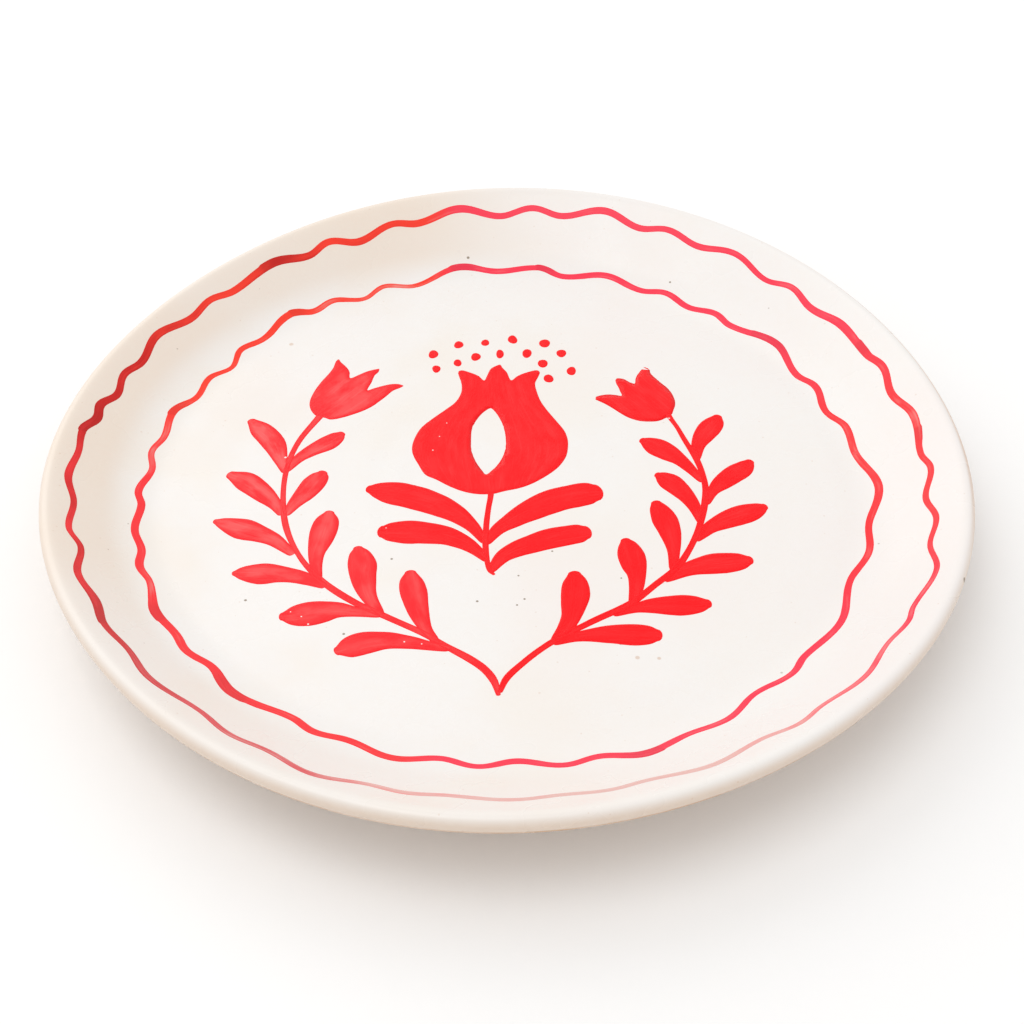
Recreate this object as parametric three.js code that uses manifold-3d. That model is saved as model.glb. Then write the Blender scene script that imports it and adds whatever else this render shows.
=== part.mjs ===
// Hand painted ceramic dinner plate, in millimetres, +Z up.
// The origin is on the table under the plate's centre; the motif's top points along +Y.
import * as THREE from 'three';
import { mergeVertices } from 'three/addons/utils/BufferGeometryUtils.js';
import Module from 'manifold-3d';

const wasm = await Module();
wasm.setup();

// ---- driving dimensions -------------------------------------------------------------
const RIM_RADIUS = 130;       // outside of the lip
const RIM_HEIGHT = 28;        // lip above the table
const FOOT_HEIGHT = 7;        // foot ring under the base
const BASE_THICKNESS = 6.5;
const WELL_TOP = FOOT_HEIGHT + BASE_THICKNESS;
const WELL_RADIUS = 96;       // the well is flat out to here
const BEND_RADIUS = 112;      // the wall is straight from here up to the lip
const WALL_SLOPE = 0.64;      // rise over run of the straight wall
const LIP_WIDTH = 5.2;        // between the two corners of the lip
const FOOT_INNER = 78;
const FOOT_OUTER = 84;
const FOOT_CHAMFER = 0.8;
const FOOT_DRAFT = 1.4;       // each side of the foot leans in towards the table
const FOOT_FILLET = 1.1;      // where the foot meets the base
const SEEDS_END = 74;         // the well's faces are split here, so the bare ones stand alone
const WARP_START = 90;        // hand thrown: only the wall is out of true
const PAINT_THICKNESS = 0.3;
const PAINT_GAP = 0.3;        // between two neighbouring brush marks
const WALL_GAP = 0.15;        // paint to the faceted wall
const LATHE_STEPS = 80;
const STATION_STEPS = 2;      // outline points between two brush stations
const ROUND_STEPS = 8;
const TIP_SHARE = 0.6;        // a brush mark's blunt end, as a share of half its width

// Outside of the wall from the foot up to the lip, then the squarish lip up and over: [radius, height].
const OUTER_WALL = [[97, 7.2], [105.5, 9], [115.2, 13.8], [127.4, 21.6]];
const LIP = [[129.4, 23.4], [RIM_RADIUS, 25.4], [129.6, 27.1], [128.4, RIM_HEIGHT],
  [127, RIM_HEIGHT]];

// How far the lip leans out and how far it rises: [waves round the rim, their height, where one of
// them crests in degrees round from +X].
const RIM_LEAN = [[2, 1.7, 90], [4, 0.6, -10]];
const RIM_RISE = [[2, 2.1, 76], [3, 0.4, -35], [4, 0.4, 30]];

// ---- brush stations: [x, y, brush width], from where the stroke starts to its tip ----------
const CENTRE_STEM = [[-4.6, -6.2, 1.5], [-5.2, -11, 1.4], [-5.7, -17, 1.5], [-5.8, -25, 1.6],
  [-5, -31.5, 1.8], [-4.2, -36, 1.6], [-3.6, -37.4, 0.9]];
const LEFT_STEM = [[-2.8, -80.3, 1.2], [-4, -75.6, 1.9], [-6.3, -72, 2.1], [-10, -68.6, 2.1],
  [-16, -63.6, 2], [-22.2, -58.9, 2], [-32.2, -52.7, 2.1], [-40, -47.8, 2.2], [-48.3, -40.7, 2.2],
  [-54.2, -33.3, 1.7], [-58.6, -25, 1.6], [-61.4, -16.7, 1.9], [-63, -6, 1.6], [-63.3, 3, 1.6],
  [-62.6, 11, 1.7], [-60.3, 20, 1.8], [-56.1, 29, 2.2]];
const RIGHT_STEM = [[-2.4, -79.2, 1.4], [-0.8, -75, 1.9], [3.8, -70, 1.9], [11.2, -63.2, 1.8],
  [22, -55.5, 1.9], [32.5, -49, 2], [39, -42.4, 2], [46, -35, 2.1], [51, -25.4, 1.8],
  [54.3, -15.5, 2], [56.3, -5, 2], [56.2, 2, 1.8], [54.8, 10, 2], [52.4, 17.5, 1.7],
  [50.5, 24, 1.5], [49.3, 27.1, 1.6]];
const CENTRE_LEAVES = {
  upper_left: [[-6.3, -24.5, 1.8], [-9.8, -18.8, 3.9], [-14.4, -13.6, 6.4], [-20.7, -8.8, 8.5],
    [-27, -5.8, 9.6], [-33, -3.7, 8.8], [-37, -2.6, 5.2], [-38.9, -2.2, 2.2]],
  lower_left: [[-5.6, -31.8, 1.8], [-8.8, -28.2, 3.6], [-12.7, -24.8, 5.4], [-17.6, -22.2, 6.9],
    [-23, -20.7, 8.6], [-28.5, -20.3, 9], [-32.6, -20.2, 7], [-34.3, -20.1, 4.6]],
  upper_right: [[-5.4, -25, 1.8], [-2.6, -20, 3.9], [1.6, -16.1, 5.8], [7.2, -12, 8.1],
    [13.6, -8.2, 9.2], [19.5, -6.1, 9.4], [23.4, -5.1, 8.4], [25.5, -4.8, 5.4]],
  lower_right: [[-4.3, -36, 1.8], [-1.1, -30.6, 4.4], [2.8, -27.6, 5.9], [7.5, -25.5, 7],
    [12.7, -23.6, 7.6], [17.3, -22.4, 7.3], [20.2, -21.7, 6], [21.7, -21.4, 3.8]],
};
const LEFT_OUTER_LEAVES = [
  [[-63.8, 6, 1.8], [-65.3, 11, 4], [-68.2, 18.7, 6.8], [-72.2, 24.5, 6.4], [-75.6, 28.7, 2.4]],
  [[-63.3, -12, 2], [-65.3, -8.1, 4], [-69.5, -3.2, 6.6], [-74.5, 1.7, 7.1], [-79, 4.4, 3]],
  [[-59, -28, 2.4], [-64, -23, 4.6], [-68, -20.6, 6.3], [-73.5, -18.3, 7.7],
    [-78.5, -16.2, 4.6], [-81, -15.3, 1.6]],
  [[-49.5, -40.8, 2.4], [-53, -38.8, 4], [-57, -37.3, 5], [-61.3, -36.4, 6.3],
    [-66.5, -36.2, 7.7], [-71.5, -36, 4.6], [-73.5, -36, 1.6]],
  [[-34, -52, 2.2], [-40, -51, 3.4], [-44.5, -50.3, 5.6], [-48.5, -50.8, 7.7],
    [-52.5, -51.6, 8.5], [-56.5, -52.2, 6.6], [-59, -52.4, 2.8]],
  [[-16, -64.4, 2], [-21, -63.3, 3.2], [-25.5, -62.2, 4.4], [-31, -61.5, 5.8],
    [-36.5, -62.2, 7.6], [-41, -63.9, 7], [-43.7, -65, 2.8]],
];
const LEFT_INNER_LEAVES = [
  [[-62.8, 6.5, 1.8], [-60.1, 11.2, 3.2], [-56.5, 14.9, 4.7], [-52.1, 18.3, 6.2],
    [-49.4, 21.1, 4.6], [-48.3, 22.4, 2.2]],
  [[-61.3, -12, 2.2], [-59.4, -7.9, 4], [-56.8, -3.5, 6], [-54.6, 0.9, 6.6],
    [-53.1, 3.8, 4.8], [-52.6, 5, 2.6]],
  [[-50.7, -38.5, 2], [-51.6, -33, 3.2], [-51.9, -28.5, 4.4], [-51.2, -23.5, 6.4],
    [-50.4, -18.5, 7.5], [-49.8, -14.5, 5.8], [-49.5, -12, 2.4]],
  [[-33.6, -51.3, 2.2], [-36, -47, 3.7], [-37.4, -43.5, 5], [-38.6, -38, 6.8],
    [-39.3, -32.5, 7.5], [-40.2, -28.5, 5.4], [-40.7, -26.6, 2.4]],
  [[-18.8, -61.6, 2], [-21, -58, 2.9], [-22.4, -54.5, 4.2], [-23.8, -49.5, 5.9],
    [-24.9, -44, 7], [-25.7, -39.5, 6], [-26, -36.4, 2.8]],
];
const RIGHT_OUTER_LEAVES = [
  [[55.2, 10, 2], [56.1, 15.5, 4], [57.9, 19.5, 5.8], [60.2, 23.4, 6.8], [61.9, 26.3, 5.4],
    [63, 28.6, 2.4]],
  [[56.3, -9.2, 2], [58.4, -4.7, 3.2], [60.9, -1.5, 5.2], [64.3, 1.8, 6.4], [67.3, 4.4, 6.4],
    [69.2, 6.6, 4.6], [70.3, 8, 2.4]],
  [[52.4, -24.2, 2], [55.9, -20.1, 4.2], [59.5, -17.6, 5.9], [64, -15.3, 7.2],
    [68.2, -13.4, 6.8], [71, -12, 4.4], [72.2, -11.4, 2.4]],
  [[42.8, -39.8, 2.2], [47, -37.1, 4.2], [50.5, -35.5, 5.7], [55, -34.3, 7.3],
    [59.5, -33.8, 7.6], [63.3, -33.3, 6], [65.6, -32.9, 3]],
  [[28.5, -52.4, 2], [33.5, -50.6, 3.2], [37.5, -49.9, 5], [42, -49.7, 6.6],
    [46.5, -49.7, 7.2], [50.5, -49.5, 5.7], [52.8, -49.2, 3]],
  [[12.5, -62.5, 2], [17, -60.9, 3], [21, -60.2, 4.2], [26, -59.9, 6], [32.5, -60.2, 7.3],
    [36.8, -60.3, 6.2], [38.7, -60.4, 4]],
];
const RIGHT_INNER_LEAVES = [
  [[55.4, 0.3, 2], [52.6, 5.3, 3.4], [50.2, 8.9, 4.6], [47.2, 12, 6.7], [43.9, 14.9, 7.4],
    [41.4, 16.9, 5], [39.9, 17.9, 2.4]],
  [[53.7, -17, 2], [52.6, -11.5, 3.5], [51.1, -7.6, 4.6], [48.8, -3.6, 6.2], [46.4, -0.4, 6.7],
    [44.4, 1.6, 4.6], [43.2, 2.5, 2.2]],
  [[44.8, -35.5, 2.2], [45.3, -30, 3.1], [45.3, -26, 4.4], [44.8, -21, 6.1], [43.8, -16, 7.1],
    [42.6, -11.8, 5.2], [41.9, -9.4, 2.6]],
  [[33, -48.5, 2], [34.2, -43.5, 3.6], [34.7, -38.3, 4.8], [34.2, -34.5, 6.8],
    [33.7, -30.5, 7.2], [33, -26.7, 5.2], [32.4, -24.6, 2.4]],
  [[12.3, -61.5, 2.2], [14.9, -57.5, 4], [16.6, -53.5, 5], [17.4, -49.5, 6.5], [18, -45, 7.6],
    [18.2, -40.5, 6.1], [18, -37.5, 3.2]],
];

// ---- filled shapes: outline points [x, y], clockwise ------------------------------------------
const POMEGRANATE = [[-14.4, 51.6], [-13.4, 52.3], [-10.6, 51.1], [-8.1, 49.4], [-6.5, 47.3],
  [-5.6, 49.6], [-4.5, 52.9], [-3.1, 54.3], [-1.6, 55.1], [-0.9, 53.6], [0.5, 51.1],
  [1.8, 47.3], [3.7, 49.3], [6.6, 51.1], [9.8, 52.1], [10.6, 51.1], [10.1, 48.9], [9.1, 45.7],
  [9.4, 42.1], [10.5, 37.1], [12.6, 32.1], [15.1, 27.1], [17.3, 22.5], [18.1, 18.6],
  [18.1, 15.4], [17.3, 10.7], [15.1, 6.4], [12.3, 3.2], [8, -0.4], [3.7, -2.7], [-0.6, -3.9],
  [-3.4, -4.9], [-7.7, -5.1], [-12, -3.9], [-16.3, -1.4], [-19.9, 1.4], [-23.1, 3.6],
  [-25.2, 7.9], [-27.1, 12.9], [-27.4, 16.4], [-26.6, 20.7], [-24.9, 25], [-21.3, 29.6],
  [-17.7, 33.6], [-14.9, 37.1], [-13.4, 41.4], [-13.4, 45.7]];
// The bare almond in the pomegranate, anticlockwise because it is a hole.
const ALMOND = [[-6.3, 32.1], [-8.1, 29.3], [-9.9, 24.3], [-10.2, 19.3], [-10, 14.3],
  [-8.8, 9.3], [-7, 5.4], [-5.8, 3.6], [-4.1, 5.4], [-2, 8.6], [-0.4, 13.6], [-0.1, 20],
  [-1.1, 26.4], [-3.1, 31.8], [-4.5, 33.6]];
const LEFT_TULIP = [[-56.5, 30.8], [-58, 33], [-58.9, 36], [-58.8, 39], [-57.8, 43],
  [-56, 47.5], [-54.3, 50.8], [-53, 54], [-52.3, 57.5], [-51.6, 58.4], [-50.8, 56.9],
  [-49, 54.5], [-47.8, 52], [-47.4, 48.9], [-45, 50.4], [-42.5, 52.1], [-40, 53.1],
  [-38.8, 53.3], [-38.9, 51.8], [-40, 50], [-40.8, 46.5], [-41.8, 42.9], [-40, 43.8],
  [-37.5, 44.9], [-34.5, 45.8], [-32.5, 45.7], [-31, 44.8], [-32, 43.8], [-34, 42.5],
  [-36, 39.8], [-38, 37.3], [-40, 35], [-42.5, 33], [-45.5, 31.3], [-48.5, 29.9], [-52, 29],
  [-53.8, 29.8]];
const RIGHT_TULIP = [[49.2, 29.4], [50.2, 32.1], [50.8, 34.2], [50.9, 36.3], [50.2, 40],
  [49.2, 42.5], [47.1, 45.6], [45.4, 48.3], [44.6, 50.2], [44.3, 52.5], [43.8, 53.8],
  [42.9, 53.5], [41.7, 51.7], [40.4, 49.2], [39.7, 47.1], [39.3, 44.9], [37.9, 45.6],
  [36.3, 47.1], [35, 47.6], [34, 47.6], [33.5, 46.7], [34, 43.8], [34.6, 41.5], [35, 39],
  [33.3, 39.4], [30.8, 39.7], [28.3, 39.2], [26.7, 38.3], [26.7, 37.7], [27.9, 36.7],
  [30, 35], [32.1, 32.9], [34.2, 30.6], [36.7, 28.3], [39.2, 27], [42.1, 26.5], [45, 26.7],
  [47.1, 27.8]];
// Seed dots over the crown: [x, y, width, height].
const SEEDS = [[-22.3, 60.5, 2.8, 3.8], [-21.2, 53.1, 2.4, 3.3], [-14.5, 65.4, 2.6, 3.6],
  [-14.7, 56.1, 2.3, 3.2], [-6.2, 66.4, 2.2, 3.2], [-9.1, 59.1, 2.7, 3.7], [-1.6, 60.5, 2.2, 4],
  [2.4, 68, 2.7, 4.1], [6.8, 60.7, 2.7, 4.1], [12.4, 65.9, 3.1, 4.1], [17.5, 60.6, 2.7, 3.8],
  [11.6, 55.5, 2.7, 4], [20.3, 51.6, 2.7, 3.9], [13.2, 47.9, 2.9, 3.5]];

// ---- wavy lines: [degrees round from +X, radius, brush width] at each crest and trough ------------
const WAVY_LINES = {
  inner_wavy_line: [[6.5, 101.9, 2.4], [12.5, 102.9, 2.3], [17.7, 100.3, 2.3], [24, 102.9, 2.3],
    [28, 101.2, 2.3], [36.5, 104.8, 2.2], [45.7, 101.9, 2.3], [49.5, 103.3, 2.1],
    [54.5, 101.6, 2.2], [60, 103.7, 2], [64.3, 102, 2.1], [71.5, 104.4, 2.2], [79, 101.9, 2.1],
    [84, 104.3, 1.9], [91, 102.9, 2.1], [98, 105.1, 2.1], [107, 100.8, 1.7], [112.3, 103.1, 1.6],
    [116.8, 100.6, 1.7], [122.5, 103.8, 2.1], [126, 102.8, 2.3], [130.5, 105.5, 2.5],
    [138, 102.5, 2.2], [142.3, 103.8, 2.1], [147, 100.7, 1.7], [151.5, 103.1, 2],
    [156.3, 101.6, 2.1], [162, 104.5, 2.4], [168, 102.8, 2.1], [172, 104.1, 1.9],
    [176.3, 102.2, 2.1], [182, 104.4, 2.3], [185, 103.1, 2.3], [191, 104.8, 2.3],
    [195.3, 103.6, 2.4], [199.3, 105.2, 2.5], [202.8, 103.9, 2], [210, 106.1, 2.9],
    [215, 104.9, 2.6], [218.7, 105.8, 2.7], [223.5, 103.6, 2.6], [229.7, 106, 3],
    [239, 103, 2.3], [243, 104.4, 2.5], [247.8, 103, 2.2], [254.5, 105.1, 2.4],
    [261, 102.3, 2.1], [265.8, 104.2, 2], [271, 102, 2.3], [277.5, 104.8, 2.1],
    [281.8, 103.4, 2.2], [288, 106.3, 2.7], [295, 104.4, 1.9], [300, 105.3, 2],
    [307.3, 102.1, 1.8], [313.5, 103.9, 2], [317.7, 102.4, 2.1], [326, 103.9, 2.2],
    [335.8, 100.5, 2], [343.3, 103.1, 2.1], [348.5, 102.1, 2.1], [357.5, 105.6, 2.5]],
  outer_wavy_line: [[1, 118.3, 1.7], [8.5, 120.3, 2.2], [14, 118.3, 2.1], [19.5, 120.6, 2.1],
    [23, 119.5, 2.1], [30, 120.4, 2.4], [36, 118.8, 2], [41, 120.5, 1.7], [45.5, 118.7, 1.5],
    [52.5, 121.4, 1.7], [58.5, 119.5, 1.8], [64, 121.3, 1.7], [68.3, 119.8, 1.8],
    [74.5, 122.7, 2.1], [81, 119.8, 1.8], [85.5, 121.6, 1.8], [90.5, 119.3, 1.8],
    [97, 122.1, 2.3], [103.7, 119.6, 2.1], [107.5, 120.8, 1.9], [113.5, 118.3, 2.2],
    [118.3, 120.9, 2], [122, 119.2, 2.1], [128, 121.3, 2.4], [136, 119.7, 2.1],
    [140.3, 121.1, 1.9], [144.5, 120, 2.1], [151, 122.4, 2.3], [156.8, 120.2, 2.2],
    [160.3, 121.5, 2], [164.3, 119.8, 2.1], [167.8, 121.8, 2.3], [170.2, 120.8, 2.3],
    [173.8, 122.8, 2], [178, 121.9, 1.7], [183.2, 122.8, 2.1], [188.5, 120.7, 1.7],
    [193.8, 122.1, 1.7], [197.5, 119.8, 1.7], [203.3, 122.4, 2], [208.5, 120.7, 2.3],
    [213.3, 122.1, 2], [218.5, 120.8, 1.8], [224, 122.2, 2.1], [232, 119.7, 1.7],
    [237.5, 121.3, 1.9], [242, 120.1, 1.8], [248.5, 122.5, 2], [254.8, 119.9, 1.7],
    [258.5, 120.5, 1.9], [263.5, 119.2, 1.8], [270.5, 120.5, 1.8], [275.5, 119.5, 1.7],
    [281, 120.5, 1.7], [285, 119.7, 1.7], [292.5, 122, 1.9], [299.5, 119.9, 1.6],
    [304.5, 121.9, 1.6], [308.5, 120.8, 1.4], [315, 122.3, 1.7], [322.5, 120.1, 1.4],
    [327, 121.2, 1.5], [330, 120.3, 1.5], [337, 122.1, 1.5], [343, 118.8, 1.4],
    [347.3, 119.8, 1.6], [352.3, 117.3, 1.7], [357.7, 119.7, 1.7]],
};

// ---- looks --------------------------------------------------------------------------------------
const GLAZE = { color: 0xf1ece3, roughness: 0.25, metalness: 0 };
const VERMILION = { color: 0xe42a26, roughness: 0.3, metalness: 0 };
const THIN_RED = { color: 0xe64640, roughness: 0.3, metalness: 0 };
const RING_RED = { color: 0xd93a3c, roughness: 0.3, metalness: 0 };

const object = new THREE.Group();

function place(name, geometry, look) {
  const mesh = new THREE.Mesh(geometry, new THREE.MeshStandardMaterial(look));
  mesh.name = name;
  object.add(mesh);
}

// ---- the thrown clay body -----------------------------------------------------------------------
function wellHeight(radius) {
  const bend = THREE.MathUtils.clamp((radius - WELL_RADIUS) / (BEND_RADIUS - WELL_RADIUS), 0, 1);
  const straight = Math.max(radius - BEND_RADIUS, 0);
  return WELL_TOP + WALL_SLOPE * (bend * bend * (BEND_RADIUS - WELL_RADIUS) / 2 + straight);
}

function sumOfWaves(waves, turn) {
  return waves.reduce((sum, [count, height, crest]) =>
    sum + height * Math.cos(count * (turn - THREE.MathUtils.degToRad(crest))), 0);
}

// The wall leans a little oval and the lip rises and dips as it goes round.
function warp(point) {
  const radius = Math.hypot(point.x, point.y);
  if (radius <= WARP_START) {
    return point;
  }
  const turn = Math.atan2(point.y, point.x);
  const blend = THREE.MathUtils.smoothstep(radius, WARP_START, RIM_RADIUS);
  const scale = 1 + blend * sumOfWaves(RIM_LEAN, turn) / radius;
  const rise = blend * sumOfWaves(RIM_RISE, turn);
  return point.set(point.x * scale, point.y * scale, point.z + rise);
}

function warpGeometry(geometry) {
  const position = geometry.attributes.position;
  const point = new THREE.Vector3();
  for (let i = 0; i < position.count; i += 1) {
    warp(point.fromBufferAttribute(position, i));
    position.setXYZ(i, point.x, point.y, point.z);
  }
  return geometry;
}

function bodyGeometry() {
  const footTop = FOOT_HEIGHT - FOOT_CHAMFER;
  const lipInner = RIM_RADIUS - LIP_WIDTH;
  const profile = [
    [0, FOOT_HEIGHT], [FOOT_INNER - FOOT_DRAFT - FOOT_FILLET, FOOT_HEIGHT],
    [FOOT_INNER - FOOT_DRAFT, footTop], [FOOT_INNER, FOOT_CHAMFER],
    [FOOT_INNER + FOOT_CHAMFER, 0], [FOOT_OUTER - FOOT_CHAMFER, 0],
    [FOOT_OUTER, FOOT_CHAMFER], [FOOT_OUTER + FOOT_DRAFT, footTop],
    [FOOT_OUTER + FOOT_DRAFT + FOOT_FILLET, FOOT_HEIGHT], ...OUTER_WALL, ...LIP,
    [lipInner, wellHeight(lipInner)],
  ];
  const bendSteps = 5;
  for (let i = 0; i <= bendSteps; i += 1) {
    const radius = BEND_RADIUS - (BEND_RADIUS - WELL_RADIUS) * (i / bendSteps);
    profile.push([radius, wellHeight(radius)]);
  }
  profile.push([WARP_START, WELL_TOP], [SEEDS_END, WELL_TOP], [0, WELL_TOP]);
  const points = profile.map(([radius, height]) => new THREE.Vector2(radius, height));
  return warpGeometry(new THREE.LatheGeometry(points, LATHE_STEPS).rotateX(Math.PI / 2));
}

// ---- paint on the flat well ---------------------------------------------------------------------
function slab(shape, bottom, height) {
  const settings = { depth: height, bevelEnabled: false, curveSegments: ROUND_STEPS };
  return new THREE.ExtrudeGeometry(shape, settings).translate(0, 0, bottom);
}

function shapeFrom(points) {
  return new THREE.Shape(points.map(([x, y]) => new THREE.Vector2(x, y)));
}

// The outline of a brush stroke: both edges of the brush, closed by a blunt tip at each end.
function strokeShape(stations, extraWidth = 0) {
  const path = new THREE.CatmullRomCurve3(
    stations.map(([x, y, width]) => new THREE.Vector3(x, y, (width + extraWidth) / 2)),
    false, 'centripetal',
  );
  const samples = path.getPoints((stations.length - 1) * STATION_STEPS);
  const left = [];
  const right = [];
  samples.forEach((sample, i) => {
    const before = samples[Math.max(i - 1, 0)];
    const after = samples[Math.min(i + 1, samples.length - 1)];
    const along = new THREE.Vector2(after.x - before.x, after.y - before.y).normalize();
    left.push([sample.x - along.y * sample.z, sample.y + along.x * sample.z]);
    right.unshift([sample.x + along.y * sample.z, sample.y - along.x * sample.z]);
  });
  const last = samples.length - 1;
  const tip = (end, inner) => {
    const reach = TIP_SHARE * end.z / Math.hypot(end.x - inner.x, end.y - inner.y);
    return [end.x + reach * (end.x - inner.x), end.y + reach * (end.y - inner.y)];
  };
  return shapeFrom([tip(samples[0], samples[1]), ...left,
    tip(samples[last], samples[last - 1]), ...right]);
}

function toSolid(geometry) {
  geometry.deleteAttribute('normal');
  geometry.deleteAttribute('uv');
  const merged = mergeVertices(geometry, 1e-4);
  return new wasm.Manifold(new wasm.Mesh({
    numProp: 3,
    vertProperties: new Float32Array(merged.attributes.position.array),
    triVerts: new Uint32Array(merged.index.array),
  }));
}

function toGeometry(solid) {
  const mesh = solid.getMesh();
  const geometry = new THREE.BufferGeometry();
  geometry.setAttribute('position', new THREE.BufferAttribute(mesh.vertProperties, 3));
  geometry.setIndex(new THREE.BufferAttribute(mesh.triVerts, 1));
  geometry.computeVertexNormals();
  return geometry;
}

// A stroke, less the room that the strokes already painted there take up. A brush mark that
// started on the far side of a stem keeps only its main part.
function strokeGeometry(stations, painted) {
  let solid = toSolid(slab(strokeShape(stations), WELL_TOP, PAINT_THICKNESS));
  painted.forEach((other) => {
    const room = slab(strokeShape(other, 2 * PAINT_GAP), WELL_TOP - 1, PAINT_THICKNESS + 2);
    solid = solid.subtract(toSolid(room));
  });
  const parts = solid.decompose().sort((a, b) => b.volume() - a.volume());
  return toGeometry(parts[0]);
}

function seedGeometry([x, y, width, height]) {
  const seed = new THREE.CylinderGeometry(0.5, 0.5, PAINT_THICKNESS, ROUND_STEPS);
  seed.rotateX(Math.PI / 2).scale(width, height, 1);
  return seed.translate(x, y, WELL_TOP + PAINT_THICKNESS / 2);
}

function addFilledShape(name, points, look, opening) {
  const shape = shapeFrom(points);
  if (opening) {
    shape.holes.push(new THREE.Path(opening.map(([x, y]) => new THREE.Vector2(x, y))));
  }
  place(name, slab(shape, WELL_TOP, PAINT_THICKNESS), look);
}

function addSprig(side, stem, outerLeaves, innerLeaves, look, painted) {
  place(`${side}_stem`, strokeGeometry(stem, painted), look);
  outerLeaves.forEach((leaf, i) => {
    place(`${side}_outer_leaf_${i + 1}`, strokeGeometry(leaf, [stem]), look);
  });
  innerLeaves.forEach((leaf, i) => {
    place(`${side}_inner_leaf_${i + 1}`, strokeGeometry(leaf, [stem]), look);
  });
}

// ---- wavy lines on the sloping wall -------------------------------------------------------------
// One closed bead: three steps from a crest to the next trough, four corners across.
function wavyLineGeometry(stations) {
  const stationSteps = 3;
  const steps = stations.length * stationSteps;
  const corners = [[0.5, 0], [0.4, PAINT_THICKNESS], [-0.4, PAINT_THICKNESS], [-0.5, 0]];
  const ring = new THREE.TorusGeometry(RIM_RADIUS, 1, corners.length, steps);
  const position = ring.attributes.position;
  for (let i = 0; i < position.count; i += 1) {
    const [across, up] = corners[Math.floor(i / (steps + 1)) % corners.length];
    const step = (i % (steps + 1)) % steps;
    const station = Math.floor(step / stationSteps);
    const [fromDegrees, fromRadius, fromWidth] = stations[station];
    const [toDegrees, toRadius, toWidth] = stations[(station + 1) % stations.length];
    const part = (step % stationSteps) / stationSteps;
    const ease = (1 - Math.cos(Math.PI * part)) / 2;
    const degrees = fromDegrees + part * ((toDegrees - fromDegrees + 360) % 360);
    const width = THREE.MathUtils.lerp(fromWidth, toWidth, part);
    const radius = THREE.MathUtils.lerp(fromRadius, toRadius, ease) + across * width;
    const turn = THREE.MathUtils.degToRad(degrees);
    const point = new THREE.Vector3(radius * Math.cos(turn), radius * Math.sin(turn),
      wellHeight(radius) + WALL_GAP + up);
    warp(point);
    position.setXYZ(i, point.x, point.y, point.z);
  }
  return ring;
}

// ---- assembly -----------------------------------------------------------------------------------
place('plate_body', bodyGeometry(), GLAZE);
Object.entries(WAVY_LINES).forEach(([name, stations]) => {
  place(name, wavyLineGeometry(stations), RING_RED);
});
addFilledShape('pomegranate', POMEGRANATE, VERMILION, ALMOND);
place('centre_stem', strokeGeometry(CENTRE_STEM, []), VERMILION);
Object.entries(CENTRE_LEAVES).forEach(([side, leaf]) => {
  place(`centre_leaf_${side}`, strokeGeometry(leaf, [CENTRE_STEM]), VERMILION);
});
addFilledShape('left_tulip', LEFT_TULIP, THIN_RED);
addFilledShape('right_tulip', RIGHT_TULIP, VERMILION);
addSprig('left', LEFT_STEM, LEFT_OUTER_LEAVES, LEFT_INNER_LEAVES, THIN_RED, []);
addSprig('right', RIGHT_STEM, RIGHT_OUTER_LEAVES, RIGHT_INNER_LEAVES, VERMILION, [LEFT_STEM]);
SEEDS.forEach((seed, i) => {
  place(`seed_${i + 1}`, seedGeometry(seed), VERMILION);
});

export default object;
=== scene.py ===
"""Looks for the hand painted ceramic plate: glazed body, brushed paint, floor, lights and camera.

Lengths are in millimetres until a mesh is made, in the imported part's frame: +Z is up, the origin is
on the table under the plate's centre, and the motif's top points along +Y. Materials, lights and
the camera work in metres.
"""
import math
import random

import bpy
import numpy as np
from mathutils import Matrix, Vector
from mathutils.geometry import delaunay_2d_cdt


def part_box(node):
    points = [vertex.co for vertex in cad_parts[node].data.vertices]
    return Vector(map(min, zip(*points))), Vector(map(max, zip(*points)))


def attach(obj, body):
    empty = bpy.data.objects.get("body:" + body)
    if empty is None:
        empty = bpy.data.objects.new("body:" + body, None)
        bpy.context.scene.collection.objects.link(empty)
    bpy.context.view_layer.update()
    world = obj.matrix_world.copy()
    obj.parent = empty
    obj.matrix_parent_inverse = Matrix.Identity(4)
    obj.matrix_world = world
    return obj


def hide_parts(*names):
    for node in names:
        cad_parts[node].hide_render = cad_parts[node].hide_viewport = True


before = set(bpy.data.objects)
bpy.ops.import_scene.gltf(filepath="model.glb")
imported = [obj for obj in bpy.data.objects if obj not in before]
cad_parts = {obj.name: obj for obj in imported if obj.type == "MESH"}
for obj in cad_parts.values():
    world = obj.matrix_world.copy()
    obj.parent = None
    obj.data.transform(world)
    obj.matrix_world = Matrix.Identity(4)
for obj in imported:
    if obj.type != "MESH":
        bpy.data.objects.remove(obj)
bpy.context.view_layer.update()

MM = 0.001

# ---- the thrown clay body ----
WELL_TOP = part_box("pomegranate")[0].z / MM
FOOT_HEIGHT = 7
WELL_RADIUS = 96
BEND_RADIUS = 112
WALL_SLOPE = 0.64
WARP_START = 90
RIM_RADIUS = 130
LIP_CORNER = (129, 23)        # the lower corner of the lip, where the glaze runs thin
WALL_JOIN = 122               # the lip's curve runs into the wall's formula here
TURN_STEPS = 300
SECTION_SPACING = 2.5         # the longest step along the section
WELL_SPACING = 2.0
THROWING_RINGS = (0.03, 10.5)     # height, and the distance from one to the next
DENT_DEPTHS = (0.09, 0.05)        # of the wide dents and of the slanting ones
RIPPLE_FADE = (114, 122)          # the rings and dents die away between these radii
TRIM_MARKS = (0.07, 6.3)          # height, and the distance from one to the next
TRIM_FLOOR = 6.5                  # the turning tool left its marks above this height
TRIM_FADE = (112, 120)

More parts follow.
